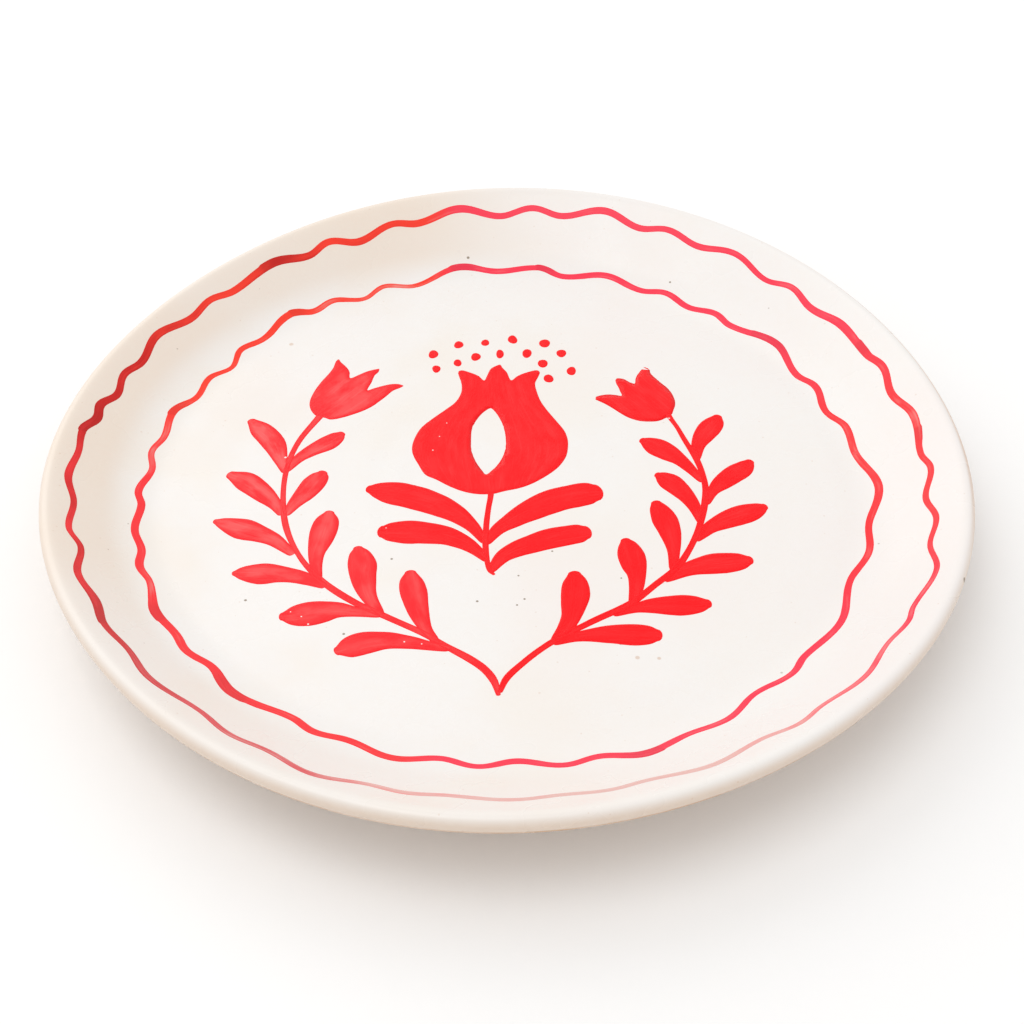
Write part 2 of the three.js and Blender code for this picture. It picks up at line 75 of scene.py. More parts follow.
# Half the body's section, [radius, height], from the middle of the underside to over the lip.
SECTION = [[0, FOOT_HEIGHT], [60, FOOT_HEIGHT], [75.5, FOOT_HEIGHT], [76.6, 6.2], [78, 0.8],
    [78.8, 0], [83.2, 0], [84, 0.8], [85.4, 6.2], [86.6, 7], [97, 7.2], [105.5, 9],
    [115.2, 13.8], [126.6, 21.1], [128.7, 22.6], [129.55, 23.8], [130, 25.6], [129.6, 27.1],
    [128.4, 28], [127, 28], [124.8, 26.81]]

# How far the lip leans out and how far it rises: [waves round the rim, their height, where one of
# them crests in degrees round from +X].
RIM_LEAN = [[2, 1.7, 90], [4, 0.6, -10]]
RIM_RISE = [[2, 2.1, 76], [3, 0.4, -35], [4, 0.4, 30]]

# ---- brush stations: [x, y, brush width], from where the stroke starts to its tip ----
CENTRE_STEM = [[-4.4, -4, 1.9], [-4.5, -6.2, 1.7], [-5.1, -11, 1.6], [-5.6, -17, 1.7], [-5.9, -25, 1.8],
    [-5.5, -31.5, 1.6], [-4.7, -36, 1.3], [-3.6, -37.4, 0.9]]
LEFT_STEM = [[-2.5, -80.3, 1.2], [-3.6, -75.8, 2.1], [-5.9, -71.9, 2.3], [-9.7, -68.2, 2.4],
    [-16, -63.6, 2], [-22.2, -58.9, 2], [-32.2, -52.7, 2.1], [-40, -47.8, 2.2], [-48.3, -40.7, 2.2],
    [-54.2, -33.3, 1.7], [-58.6, -25, 1.6], [-61.4, -16.7, 1.9], [-63, -6, 1.6], [-63.3, 3, 1.6],
    [-62.6, 11, 1.7], [-60.3, 20, 1.8], [-56.1, 29, 2.2], [-54.9, 31.6, 2.4]]
RIGHT_STEM = [[-2.1, -79.2, 1.4], [-0.5, -75, 1.9], [3.7, -69.7, 1.9], [10.9, -62.8, 1.9],
    [21.9, -55.3, 2.1], [32.4, -48.8, 2.2], [39, -42.4, 2], [46, -35, 2.1], [51, -25.4, 1.8],
    [54.3, -15.5, 2], [56.3, -5, 2], [56.2, 2, 1.8], [54.8, 10, 2], [52.4, 17.5, 1.7],
    [50.5, 24, 1.5], [49.3, 27.1, 1.6], [48.4, 29.6, 1.8]]
CENTRE_LEAVES = {
    "upper_left": [[-6.3, -24.5, 1.8], [-9.6, -18.4, 3.9], [-14.3, -13.1, 6.6], [-20.7, -8.6, 8.7],
        [-27, -5.6, 9.6], [-33, -3.7, 8.8], [-37, -2.6, 5.8], [-38.9, -2.2, 3]],
    "lower_left": [[-5.6, -31.8, 1.8], [-8.6, -27.9, 3.6], [-12.6, -24.3, 5.7], [-17.5, -21.8, 7.2],
        [-23, -20.7, 8.6], [-28.5, -20.3, 9], [-32.6, -20.2, 7], [-34.3, -20.1, 4.6]],
    "upper_right": [[-5.4, -25, 1.8], [-2.6, -20, 3.9], [1.6, -16.1, 5.8], [7.2, -11.8, 8.3],
        [13.6, -8.1, 9.4], [19.5, -6.1, 9.4], [23.4, -5.2, 8.6], [25.2, -4.9, 6.8]],
    "lower_right": [[-4.3, -36, 1.8], [-1.1, -30.6, 4.4], [2.8, -27.6, 5.9], [7.5, -25.5, 7],
        [12.7, -23.5, 7.7], [17.3, -22.3, 7.5], [20.3, -21.6, 6.9], [21.7, -21.3, 5.2]],
}
LEFT_OUTER_LEAVES = [
    [[-63.8, 6, 1.8], [-65.3, 11, 4], [-68.2, 18.7, 6.8], [-72.2, 24.5, 6.4], [-75.6, 28.7, 2.4]],
    [[-63.3, -12, 2], [-65.3, -8.1, 4], [-69.5, -3.2, 6.6], [-74.5, 1.7, 7.1], [-79, 4.4, 3]],
    [[-59, -28, 2.4], [-64, -23, 4.6], [-68, -20.6, 6.3], [-73.5, -18.3, 7.7],
        [-78.5, -16.2, 4.6], [-81, -15.3, 1.6]],
    [[-49.5, -40.8, 2.4], [-53, -38.8, 4], [-57, -37.3, 5], [-61.3, -36.4, 6.3],
        [-66.5, -36.2, 7.7], [-71.5, -36, 4.6], [-73.5, -36, 1.6]],
    [[-34, -52, 2.2], [-40, -51, 3.4], [-44.5, -50.3, 5.6], [-48.5, -50.8, 7.7],
        [-52.5, -51.6, 8.5], [-56.5, -52.2, 6.6], [-59, -52.4, 2.8]],
    [[-16, -64.4, 2], [-21, -63.3, 3.2], [-25.5, -62.2, 4.4], [-31, -61.5, 5.8],
        [-36.5, -62.2, 7.6], [-41, -63.9, 7], [-43.7, -65, 2.8]],
]
LEFT_INNER_LEAVES = [
    [[-62.8, 6.5, 1.8], [-60.1, 11.2, 3.2], [-56.5, 14.9, 4.7], [-52.1, 18.3, 6.2],
        [-49.4, 21.1, 4.6], [-48.3, 22.4, 2.2]],
    [[-61.3, -12, 2.2], [-59.4, -7.9, 4], [-56.8, -3.5, 6], [-54.6, 0.9, 6.6],
        [-53.1, 3.8, 4.8], [-52.6, 5, 2.6]],
    [[-50.7, -38.5, 2], [-51.6, -33, 3.2], [-51.9, -28.5, 4.4], [-51.2, -23.5, 6.4],
        [-50.4, -18.5, 7.5], [-49.8, -14.5, 5.8], [-49.5, -12, 2.4]],
    [[-33.6, -51.3, 2.2], [-36, -47, 3.7], [-37.4, -43.5, 5], [-38.6, -38, 6.8],
        [-39.3, -32.5, 7.5], [-40.2, -28.5, 5.4], [-40.7, -26.6, 2.4]],
    [[-18.8, -61.6, 2], [-21, -58, 2.9], [-22.4, -54.5, 4.2], [-23.8, -49.5, 5.9],
        [-24.9, -44, 7], [-25.7, -39.5, 6], [-26, -36.4, 2.8]],
]
RIGHT_OUTER_LEAVES = [
    [[55.2, 10, 2], [56.1, 15.5, 4], [57.9, 19.5, 5.8], [60.2, 23.4, 6.8], [61.9, 26.3, 5.4],
        [63, 28.6, 2.4]],
    [[56.3, -9.2, 2], [58.4, -4.7, 3.2], [60.9, -1.5, 5.2], [64.3, 1.8, 6.4], [67.3, 4.4, 6.4],
        [69.2, 6.6, 4.6], [70.3, 8, 2.4]],
    [[52.4, -24.2, 2], [55.9, -20.1, 4.2], [59.5, -17.6, 5.9], [64, -15.3, 7.2],
        [68.2, -13.4, 6.8], [71, -12, 4.4], [72.2, -11.4, 2.4]],
    [[42.8, -39.8, 2.2], [47, -37.1, 4.2], [50.5, -35.5, 5.7], [55, -34.3, 7.3],
        [59.5, -33.8, 7.6], [63.3, -33.3, 6], [65.6, -32.9, 3]],
    [[28.5, -52.4, 2], [33.5, -50.6, 3.2], [37.5, -49.9, 5], [42, -49.7, 6.6],
        [46.5, -49.7, 7.2], [50.5, -49.5, 5.7], [52.8, -49.2, 3]],
    [[12.5, -62.5, 2], [17, -60.9, 3], [21, -60.2, 4.2], [26, -59.9, 6], [32.5, -60.2, 7.3],
        [36.8, -60.3, 6.2], [38.7, -60.4, 4]],
]
RIGHT_INNER_LEAVES = [
    [[55.4, 0.3, 2], [52.6, 5.3, 3.4], [50.2, 8.9, 4.6], [47.2, 12, 6.7], [43.9, 14.9, 7.4],
        [41.4, 16.9, 5], [39.9, 17.9, 2.4]],
    [[53.7, -17, 2], [52.6, -11.5, 3.5], [51.1, -7.6, 4.6], [48.8, -3.6, 6.2], [46.4, -0.4, 6.7],
        [44.4, 1.6, 4.6], [43.2, 2.5, 2.2]],
    [[44.8, -35.5, 2.2], [45.3, -30, 3.1], [45.3, -26, 4.4], [44.8, -21, 6.1], [43.8, -16, 7.1],
        [42.6, -11.8, 5.2], [41.9, -9.4, 2.6]],
    [[33, -48.5, 2], [34.2, -43.5, 3.6], [34.7, -38.3, 4.8], [34.2, -34.5, 6.8],
        [33.7, -30.5, 7.2], [33, -26.7, 5.2], [32.4, -24.6, 2.4]],
    [[12.3, -61.5, 2.2], [14.9, -57.5, 4], [16.6, -53.5, 5], [17.4, -49.5, 6.5], [18, -45, 7.6],
        [18.2, -40.5, 6.1], [18, -37.5, 3.2]],
]

# ---- filled shapes: outline points [x, y], clockwise ----
POMEGRANATE = [[-14.4, 51.6], [-13.4, 52.3], [-10.6, 51.1], [-8.1, 49.4], [-6.5, 47.3],
    [-5.6, 49.6], [-4.5, 52.9], [-3.1, 54.3], [-1.6, 55.1], [-0.9, 53.6], [0.5, 51.1],
    [1.8, 47.3], [3.7, 49.3], [6.6, 51.1], [9.8, 52.1], [10.6, 51.1], [10.1, 48.9], [9.1, 45.7],
    [9.4, 42.1], [10.5, 37.1], [12.6, 32.1], [15.1, 27.1], [17.3, 22.5], [18.1, 18.6],
    [18.1, 15.4], [17.3, 10.7], [15.1, 6.4], [12.3, 3.2], [8, -0.4], [3.7, -2.7], [-0.6, -3.9],
    [-3.4, -4.9], [-7.7, -5.1], [-12, -3.9], [-16.3, -1.4], [-19.9, 1.4], [-23.1, 3.6],
    [-25.2, 7.9], [-27.1, 12.9], [-27.4, 16.4], [-26.6, 20.7], [-24.9, 25], [-21.3, 29.6],
    [-17.7, 33.6], [-14.9, 37.1], [-13.4, 41.4], [-13.4, 45.7]]
# The bare almond in the pomegranate.
ALMOND = [[-6.3, 32.1], [-8.1, 29.3], [-9.9, 24.3], [-10.2, 19.3], [-10, 14.3],
    [-8.8, 9.3], [-7, 5.4], [-5.8, 3.6], [-4.1, 5.4], [-2, 8.6], [-0.4, 13.6], [-0.1, 20],
    [-1.1, 26.4], [-3.1, 31.8], [-4.5, 33.6]]
LEFT_TULIP = [[-56.5, 30.8], [-58, 33], [-58.9, 36], [-58.8, 39], [-57.8, 43],
    [-56, 47.5], [-54.3, 50.8], [-53, 54], [-52.3, 57.5], [-51.6, 58.4], [-50.8, 56.9],
    [-49, 54.5], [-47.8, 52], [-47.4, 48.9], [-45, 50.4], [-42.5, 52.1], [-40, 53.1],
    [-38.8, 53.3], [-38.9, 51.8], [-40, 50], [-40.8, 46.5], [-41.8, 42.9], [-40, 43.8],
    [-37.5, 44.9], [-34.5, 45.8], [-32.5, 45.7], [-31, 44.8], [-32, 43.8], [-34, 42.5],
    [-36, 39.8], [-38, 37.3], [-40, 35], [-42.5, 33], [-45.5, 31.3], [-48.5, 29.9], [-52, 29],
    [-53.8, 29.8]]
RIGHT_TULIP = [[49.2, 29.4], [50.2, 32.1], [50.8, 34.2], [50.9, 36.3], [50.2, 40],
    [49.2, 42.5], [47.1, 45.6], [45.4, 48.3], [44.6, 50.2], [44.3, 52.5], [43.8, 53.8],
    [42.9, 53.5], [41.7, 51.7], [40.4, 49.2], [39.7, 47.1], [39.3, 44.9], [37.9, 45.6],
    [36.3, 47.1], [35, 47.6], [34, 47.6], [33.5, 46.7], [34, 43.8], [34.6, 41.5], [35, 39],
    [33.3, 39.4], [30.8, 39.7], [28.3, 39.2], [26.7, 38.3], [26.7, 37.7], [27.9, 36.7],
    [30, 35], [32.1, 32.9], [34.2, 30.6], [36.7, 28.3], [39.2, 27], [42.1, 26.5], [45, 26.7],
    [47.1, 27.8]]
# Seed dots over the crown: [x, y, width, height].
SEEDS = [[-22.3, 60.5, 2.8, 3.8], [-21.2, 53.1, 2.4, 3.3], [-14.5, 65.4, 2.6, 3.6],
    [-14.7, 56.1, 2.3, 3.2], [-6.2, 66.4, 2.2, 3.2], [-9.1, 59.1, 2.7, 3.7], [-1.6, 60.5, 2.2, 4],
    [2.4, 68, 2.7, 4.1], [6.8, 60.7, 2.7, 4.1], [12.4, 65.9, 3.1, 4.1], [17.5, 60.6, 2.7, 3.8],
    [11.6, 55.5, 2.7, 4], [20.3, 51.6, 2.7, 3.9], [13.2, 47.9, 2.9, 3.5]]

# ---- wavy lines: [degrees round from +X, radius, brush width, shade] at each crest and trough. A
# shade goes from 0, nearly washed away, through 0.5, bright red, to 1, dark ----
WAVY_LINES = {
    "inner_wavy_line": [[6.5, 101.9, 2.4, 0.4], [12.5, 102.9, 2.3, 0.45], [17.7, 100.3, 2.3, 0.5],
        [24, 102.9, 2.3, 0.55], [28, 101.2, 2.3, 0.55], [36.5, 104.8, 2.2, 0.55],
        [45.7, 101.9, 2.3, 0.5], [49.5, 103.3, 2.1, 0.5], [54.5, 101.6, 2.2, 0.5],
        [60, 103.7, 2, 0.5], [64.3, 102, 2.1, 0.5], [71.5, 104.4, 2.2, 0.5],
        [79, 101.9, 2.1, 0.5], [84, 104.3, 1.9, 0.5], [91, 102.9, 2.1, 0.5],
        [98, 105.1, 2.1, 0.5], [107, 100.8, 1.7, 0.39], [112.3, 103.1, 1.6, 0.38],
        [116.8, 100.6, 1.7, 0.38], [122.5, 103.8, 2.1, 0.4], [126, 102.8, 2.3, 0.4],
        [130.5, 105.5, 2.5, 0.55], [138, 102.5, 2.2, 0.5], [142.3, 103.8, 2.1, 0.55],
        [147, 100.7, 1.7, 0.5], [151.5, 103.1, 2, 0.5], [156.3, 101.6, 2.1, 0.45],
        [162, 104.5, 2.4, 0.5], [168, 102.8, 2.1, 0.4], [172, 104.1, 1.9, 0.4],
        [176.3, 102.2, 2.1, 0.4], [182, 104.4, 2.3, 0.5], [185, 103.1, 2.3, 0.55],
        [191, 104.8, 2.3, 0.5], [195.3, 103.6, 2.4, 0.5], [199.3, 105.2, 2.5, 0.5],
        [202.8, 103.9, 2, 0.4], [210, 106.1, 2.9, 0.6], [215, 104.9, 2.6, 0.5],
        [218.7, 105.8, 2.7, 0.5], [223.5, 103.6, 2.6, 0.6], [229.7, 106, 3, 0.6],
        [239, 103, 2.3, 0.5], [243, 104.4, 2.5, 0.5], [247.8, 103, 2.2, 0.53],
        [254.5, 105.1, 2.4, 0.57], [261, 102.3, 2.1, 0.58], [265.8, 104.2, 2, 0.57],
        [271, 102, 2.3, 0.57], [277.5, 104.8, 2.1, 0.58], [281.8, 103.4, 2.2, 0.58],
        [288, 106.3, 2.7, 0.58], [295, 104.4, 1.9, 0.48], [300, 105.3, 2, 0.45],
        [307.3, 102.1, 1.8, 0.49], [313.5, 103.9, 2, 0.5], [317.7, 102.4, 2.1, 0.52],
        [326, 103.9, 2.2, 0.53], [335.8, 100.5, 2, 0.5], [343.3, 103.1, 2.1, 0.5],
        [348.5, 102.1, 2.1, 0.5], [357.5, 105.6, 2.5, 0.5]],
    "outer_wavy_line": [[1, 118.3, 1.7, 0.5], [8.5, 120.3, 2.2, 0.4], [14, 118.3, 2.1, 0.5],
        [19.5, 120.6, 2.1, 0.5], [23, 119.5, 2.1, 0.5], [30, 120.4, 2.4, 0.5],
        [36, 118.8, 2, 0.47], [41, 120.5, 1.7, 0.47], [45.5, 118.7, 1.5, 0.47],
        [52.5, 121.4, 1.7, 0.47], [58.5, 119.5, 1.8, 0.53], [64, 121.3, 1.7, 0.54],
        [68.3, 119.8, 1.8, 0.54], [74.5, 122.7, 2.1, 0.5], [81, 119.8, 1.8, 0.5],
        [85.5, 121.6, 1.8, 0.5], [90.5, 119.3, 1.8, 0.5], [97, 122.1, 2.3, 0.45],
        [103.7, 119.6, 2.1, 0.5], [107.5, 120.8, 1.9, 0.6], [113.5, 118.3, 2.2, 0.65],
        [118.3, 120.9, 2, 0.5], [122, 119.2, 2.1, 0.8], [128, 121.3, 2.4, 0.85],
        [136, 119.7, 2.1, 0.55], [140.3, 121.1, 1.9, 0.65], [144.5, 120, 2.1, 0.7],
        [151, 122.4, 2.3, 0.8], [156.8, 120.2, 2.2, 0.9], [160.3, 121.5, 2, 0.9],
        [164.3, 119.8, 2.1, 0.95], [167.8, 121.8, 2.3, 0.95], [170.2, 120.8, 2.3, 0.95],
        [173.8, 122.8, 2, 0.95], [178, 121.9, 1.7, 0.75], [183.2, 122.8, 2.1, 0.75],
        [188.5, 120.7, 1.7, 0.8], [193.8, 122.1, 1.7, 0.7], [197.5, 119.8, 1.7, 0.85],
        [203.3, 122.4, 2, 0.75], [208.5, 120.7, 2.3, 0.85], [213.3, 122.1, 2, 0.8],
        [218.5, 120.8, 1.8, 0.8], [224, 122.2, 2.1, 0.75], [232, 119.7, 1.7, 0.55],
        [237.5, 121.3, 1.9, 0.35], [242, 120.1, 1.8, 0.4], [248.5, 122.5, 2, 0.37],
        [254.8, 119.9, 1.7, 0.15], [258.5, 120.5, 1.9, 0.15], [263.5, 119.2, 1.8, 0.1],
        [270.5, 120.5, 1.8, 0.05], [275.5, 119.5, 1.7, 0], [281, 120.5, 1.7, 0],
        [285, 119.7, 1.7, 0], [292.5, 122, 1.9, 0.05], [299.5, 119.9, 1.6, 0.1],
        [304.5, 121.9, 1.6, 0.2], [308.5, 120.8, 1.4, 0.3], [315, 122.3, 1.7, 0.35],
        [322.5, 120.1, 1.4, 0.35], [327, 121.2, 1.5, 0.42], [330, 120.3, 1.5, 0.45],
        [337, 122.1, 1.5, 0.45], [343, 118.8, 1.4, 0.5], [347.3, 119.8, 1.6, 0.5],
        [352.3, 117.3, 1.7, 0.5], [357.7, 119.7, 1.7, 0.5]],
}
# Where the brush set down again over wet paint: [from, to] in degrees.
RESTARTS = {
    "inner_wavy_line": [[30.5, 41.5], [127, 130.4], [157.5, 162.5], [206.6, 211.5], [223, 231.8],
        [284, 290.2], [80, 84.3], [93.5, 99.5]],
    "outer_wavy_line": [[2.4, 5.9], [22, 25.6], [121.5, 129.8], [165.5, 174], [204.5, 213.3]],
}

# ---- small marks in the glaze: [x, y, radius] ----
IRON_SPECKS = [[-8, -47.5, 0.42], [-31.3, -31, 0.4], [-42.5, -59, 0.42], [-69.3, -46.2, 0.45],
    [3, -38, 0.32], [4.5, -46.8, 0.36], [2.5, -49, 0.34], [30.5, -39.3, 0.3], [12.3, -28.7, 0.34],
    [29, -63.2, 0.5], [-11.8, 107.4, 0.55], [53.5, 93.3, 0.4]]
FAINT_SPECKS = [[-101, 57, 0.3], [-105, -18, 0.3], [101.5, -28, 0.35], [-108, -32, 0.25],
    [83.5, 75.3, 0.3], [69, -74.5, 0.4]]
LIP_CHIP = ((118, -52.6, 24.6), 0.9)      # where the glaze is chipped on the lip's outside
TAN_SPOTS = [[33, -68.2, 0.7], [38.5, -68.5, 0.6], [-67, 66.5, 0.8]]
PINHOLES = [[-17.5, 26.8, 0.22], [-19.5, 20.7, 0.22], [-21.3, 14.5, 0.26], [-57, -50.7, 0.2],
    [-54, -52.5, 0.24], [-52, -55.3, 0.3], [-26.7, -62, 0.26], [-22.2, -62.8, 0.22],
    [-33.4, -18.6, 0.2], [-63.9, 11.8, 0.4], [48.5, 28, 0.3]]


# ---- curves ----
def smooth_step(low, high, value):
    share = np.clip((value - low) / (high - low), 0, 1)
    return share * share * (3 - 2 * share)


def sum_of_waves(waves, turn):
    return sum(height * np.cos(count * (turn - math.radians(crest)))
        for count, height, crest in waves)


def curve_through(points, steps, closed=False):
    """A centripetal Catmull-Rom curve, with this many steps from one point to the next."""
    points = np.array(points, float)
    if closed:
        points = np.vstack([points[-1], points, points[:2]])
    else:
        points = np.vstack([2 * points[0] - points[1], points, 2 * points[-1] - points[-2]])
    curve = []
    for a, b, c, d in zip(points, points[1:], points[2:], points[3:]):
        knots = np.cumsum([0] + [np.linalg.norm(q - p) ** 0.5 for p, q in ((a, b), (b, c), (c, d))])
        for t in np.linspace(knots[1], knots[2], steps, endpoint=False):
            near = [(p * (u - t) + q * (t - s)) / (u - s)
                for p, q, s, u in ((a, b, knots[0], knots[1]), (b, c, knots[1], knots[2]),
                    (c, d, knots[2], knots[3]))]
            left = (near[0] * (knots[2] - t) + near[1] * (t - knots[0])) / (knots[2] - knots[0])
            right = (near[1] * (knots[3] - t) + near[2] * (t - knots[1])) / (knots[3] - knots[1])
            curve.append((left * (knots[2] - t) + right * (t - knots[1])) / (knots[2] - knots[1]))
    if not closed:
        curve.append(points[-2])
    return np.array(curve)


def cut_corners(points, rounds):
    """The polyline with its corners rounded by cutting them, ends kept."""
    points = np.array(points, float)
    for _ in range(rounds):
        early = points[:-1] * 0.75 + points[1:] * 0.25
        late = points[:-1] * 0.25 + points[1:] * 0.75
        points = np.vstack([points[:1], np.stack([early, late], 1).reshape(-1, 2), points[-1:]])
    return points


def split_long_steps(points, longest):
    split = [points[:1]]
    for start, end in zip(points, points[1:]):
        count = max(1, math.ceil(np.linalg.norm(end - start) / longest))
        shares = np.arange(1, count + 1)[:, None] / count
        split.append(start + (end - start) * shares)
    return np.vstack(split)


def wobble(name, length, size, wavelength):
    """A slow random wander along a line, the same on every run: size is its largest swing."""
    rng = random.Random(name)
    waves = [(wavelength * rng.uniform(0.6, 1.8), rng.uniform(0, math.tau)) for _ in range(4)]
    return size / len(waves) * sum(np.sin(math.tau * length / w + phase) for w, phase in waves)


# ---- the glazed surface ----
def well_height(radius):
    bend = np.clip((radius - WELL_RADIUS) / (BEND_RADIUS - WELL_RADIUS), 0, 1)
    straight = np.maximum(radius - BEND_RADIUS, 0)
    return WELL_TOP + WALL_SLOPE * (bend * bend * (BEND_RADIUS - WELL_RADIUS) / 2 + straight)


def ripple(x, y):
    """Faint rings from throwing and shallow dents from handling, none near the lip."""
    radius, turn = np.hypot(x, y), np.arctan2(y, x)
    ring_height, ring_step = THROWING_RINGS
    wide, slanting = DENT_DEPTHS
    rings = ring_height * np.cos(math.tau * radius / ring_step + np.sin(2 * turn))
    dents = wide * np.sin(x / 17 + 0.6) * np.cos(y / 21) + slanting * np.sin((x - y) / 29)
    return (rings + dents) * (1 - smooth_step(*RIPPLE_FADE, radius))


def warp(points):
    """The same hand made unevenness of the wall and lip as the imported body's."""
    x, y, z = points.T
    radius = np.maximum(np.hypot(x, y), 1e-6)
    turn = np.arctan2(y, x)
    blend = smooth_step(WARP_START, RIM_RADIUS, radius)
    scale = 1 + blend * sum_of_waves(RIM_LEAN, turn) / radius
    return np.stack([x * scale, y * scale, z + blend * sum_of_waves(RIM_RISE, turn)], 1)


def on_glaze(x, y, lift):
    return warp(np.stack([x, y, well_height(np.hypot(x, y)) + ripple(x, y) + lift], 1))


# ---- making pieces ----
def make_piece(name, points, faces, is_smooth, look, replaced, attributes):
    """A mesh in metres that rides on the plate and stands for one CAD node."""
    mesh = bpy.data.meshes.new(name)
    mesh.from_pydata(np.asarray(points) * MM, [], faces)
    mesh.polygons.foreach_set("use_smooth", is_smooth)
    for label, values in attributes.items():
        values = np.asarray(values, np.float32)
        kind, field = ("FLOAT", "value") if values.ndim == 1 else ("FLOAT_VECTOR", "vector")
        mesh.attributes.new(label, kind, "POINT").data.foreach_set(field, values.ravel())
    mesh.materials.append(look)
    mesh.validate()
    piece = bpy.data.objects.new(name, mesh)
    bpy.context.scene.collection.objects.link(piece)
    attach(piece, "root")
    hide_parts(replaced)
    return piece


def grid_faces(rows, columns, wrap_rows=False, wrap_columns=False):
    faces = []
    for i in range(rows if wrap_rows else rows - 1):
        for j in range(columns if wrap_columns else columns - 1):
            k, l = (i + 1) % rows, (j + 1) % columns
            faces.append((i * columns + j, i * columns + l, k * columns + l, k * columns + j))
    return faces


def make_body(look):
    outline = split_long_steps(cut_corners(SECTION + [[WALL_JOIN, well_height(WALL_JOIN)]], 2),
        SECTION_SPACING)
    well = np.arange(WALL_JOIN - WELL_SPACING, 0, -WELL_SPACING)
    outline = np.vstack([outline[1:], np.stack([well, well_height(well)], 1)])
    steps = np.linalg.norm(np.diff(outline, axis=0, prepend=outline[:1]), axis=1).cumsum()
    corner = np.argmin(np.hypot(*(outline - LIP_CORNER).T))
    is_inside = np.arange(len(outline)) > np.argmax(outline[:, 1])
    turns = np.linspace(0, math.tau, TURN_STEPS, endpoint=False)
    radius = np.repeat(outline[:, 0], TURN_STEPS)
    height = np.repeat(outline[:, 1], TURN_STEPS)
    x = radius * np.tile(np.cos(turns), len(outline))
    y = radius * np.tile(np.sin(turns), len(outline))
    inside = np.repeat(is_inside, TURN_STEPS)
    underside = ~inside & (height > TRIM_FLOOR)
    trim_height, trim_step = TRIM_MARKS
    trimming = trim_height * np.sin(math.tau * radius / trim_step - np.arctan2(y, x)) * underside
    trimming *= 1 - smooth_step(*TRIM_FADE, radius)
    points = warp(np.stack([x, y, height + inside * ripple(x, y) + trimming], 1))
    last = len(points)
    middles = np.array([[0, 0, FOOT_HEIGHT], [0, 0, WELL_TOP + ripple(0, 0)]])
    faces = grid_faces(len(outline), TURN_STEPS, wrap_columns=True)
    for j in range(TURN_STEPS):
        k = (j + 1) % TURN_STEPS
        faces.append((last, k, j))
        faces.append((last + 1, last - TURN_STEPS + j, last - TURN_STEPS + k))
    from_corner = np.repeat(steps - steps[corner], TURN_STEPS)
    from_corner = np.append(from_corner, [from_corner[0], from_corner[-1]])
    make_piece("glazed_body", np.vstack([points, middles]), faces, [True] * len(faces), look,
        "plate_body", {"from_lip_corner": from_corner})


# ---- paint: a thin film that starts just under the glaze's surface ----
WAVE_STEPS = 14               # from one crest or trough to the next
STROKE_STEPS = 6              # from one station to the next
OUTLINE_STEPS = 5
RESTART_SWELL = 0.12          # how much wider a line is where the brush set down again
RESTART_SHIFT = 0.15
START_COAT = (1.5, 3.5)       # the second coat at a stroke's start ends between these lengths
SPREAD = 0.3                  # how much wider the wet paint of the leaves and seeds ran
SPRIG_ROOT = 0.5              # how far leaves start back on their stems
CENTRE_ROOT = 0.2
PAINT_UNDER = -0.06
PAINT_TOP = 0.05
ACROSS = np.array([1, 0.88, 0.6, 0.3, 0, -0.3, -0.6, -0.88, -1])
FILM = np.array([0, 1, 0.95, 0.85, 0.8, 0.85, 0.95, 1, 0])      # a little fuller along its edges
UNDERSIDE_COLUMNS = 3
EDGE_WANDER = 0.035
EDGE_WAVELENGTH = 11
PATTERN_RANGE = 90            # each mark's streaks start somewhere in this length of the pattern
TIP_SHARE = 0.6
TIP_ANGLES = np.radians([80, 60, 40, 20])
FILL_SPACING = 1.6            # between the inner points of a filled shape
FILL_MARGIN = 0.9             # the least gap between those points and its outline
FILL_RISE = 0.3               # its film reaches full height this far in
FILL_INSET = 0.35             # a row of points this far in, just past that rise
INSET_SHARE = 0.8             # points of that row under this share of the inset are dropped
FILL_EDGE = 3                 # its edge fades into its middle over this length
MERGE_GAP = 1e-5
SEED_SIDES = 24
SEED_RINGS = [(1, PAINT_UNDER, 1), (1, 0, 1), (0.82, PAINT_TOP, 0.8),
    (0.4, PAINT_TOP * 1.2, 0.4)]      # size, lift, how near the edge
SEED_OVAL = (0.03, 0.07)      # how far off round a seed may be
SEED_LUMPS = (0.02, 0.05)
SEED_TONE = 0.3


def stroke_rows(stations):
    """[x, y, half width] along a brush mark, with a round end before and after its stations."""
    rows = curve_through([(x, y, width / 2) for x, y, width in stations], STROKE_STEPS)

    def tip(end, inner):
        out = (end[:2] - inner[:2]) / np.linalg.norm(end[:2] - inner[:2])
        return [np.append(end[:2] + out * TIP_SHARE * end[2] * math.sin(a), end[2] * math.cos(a))
            for a in TIP_ANGLES]
    return np.vstack([tip(rows[0], rows[1]), rows, tip(rows[-1], rows[-2])[::-1]])


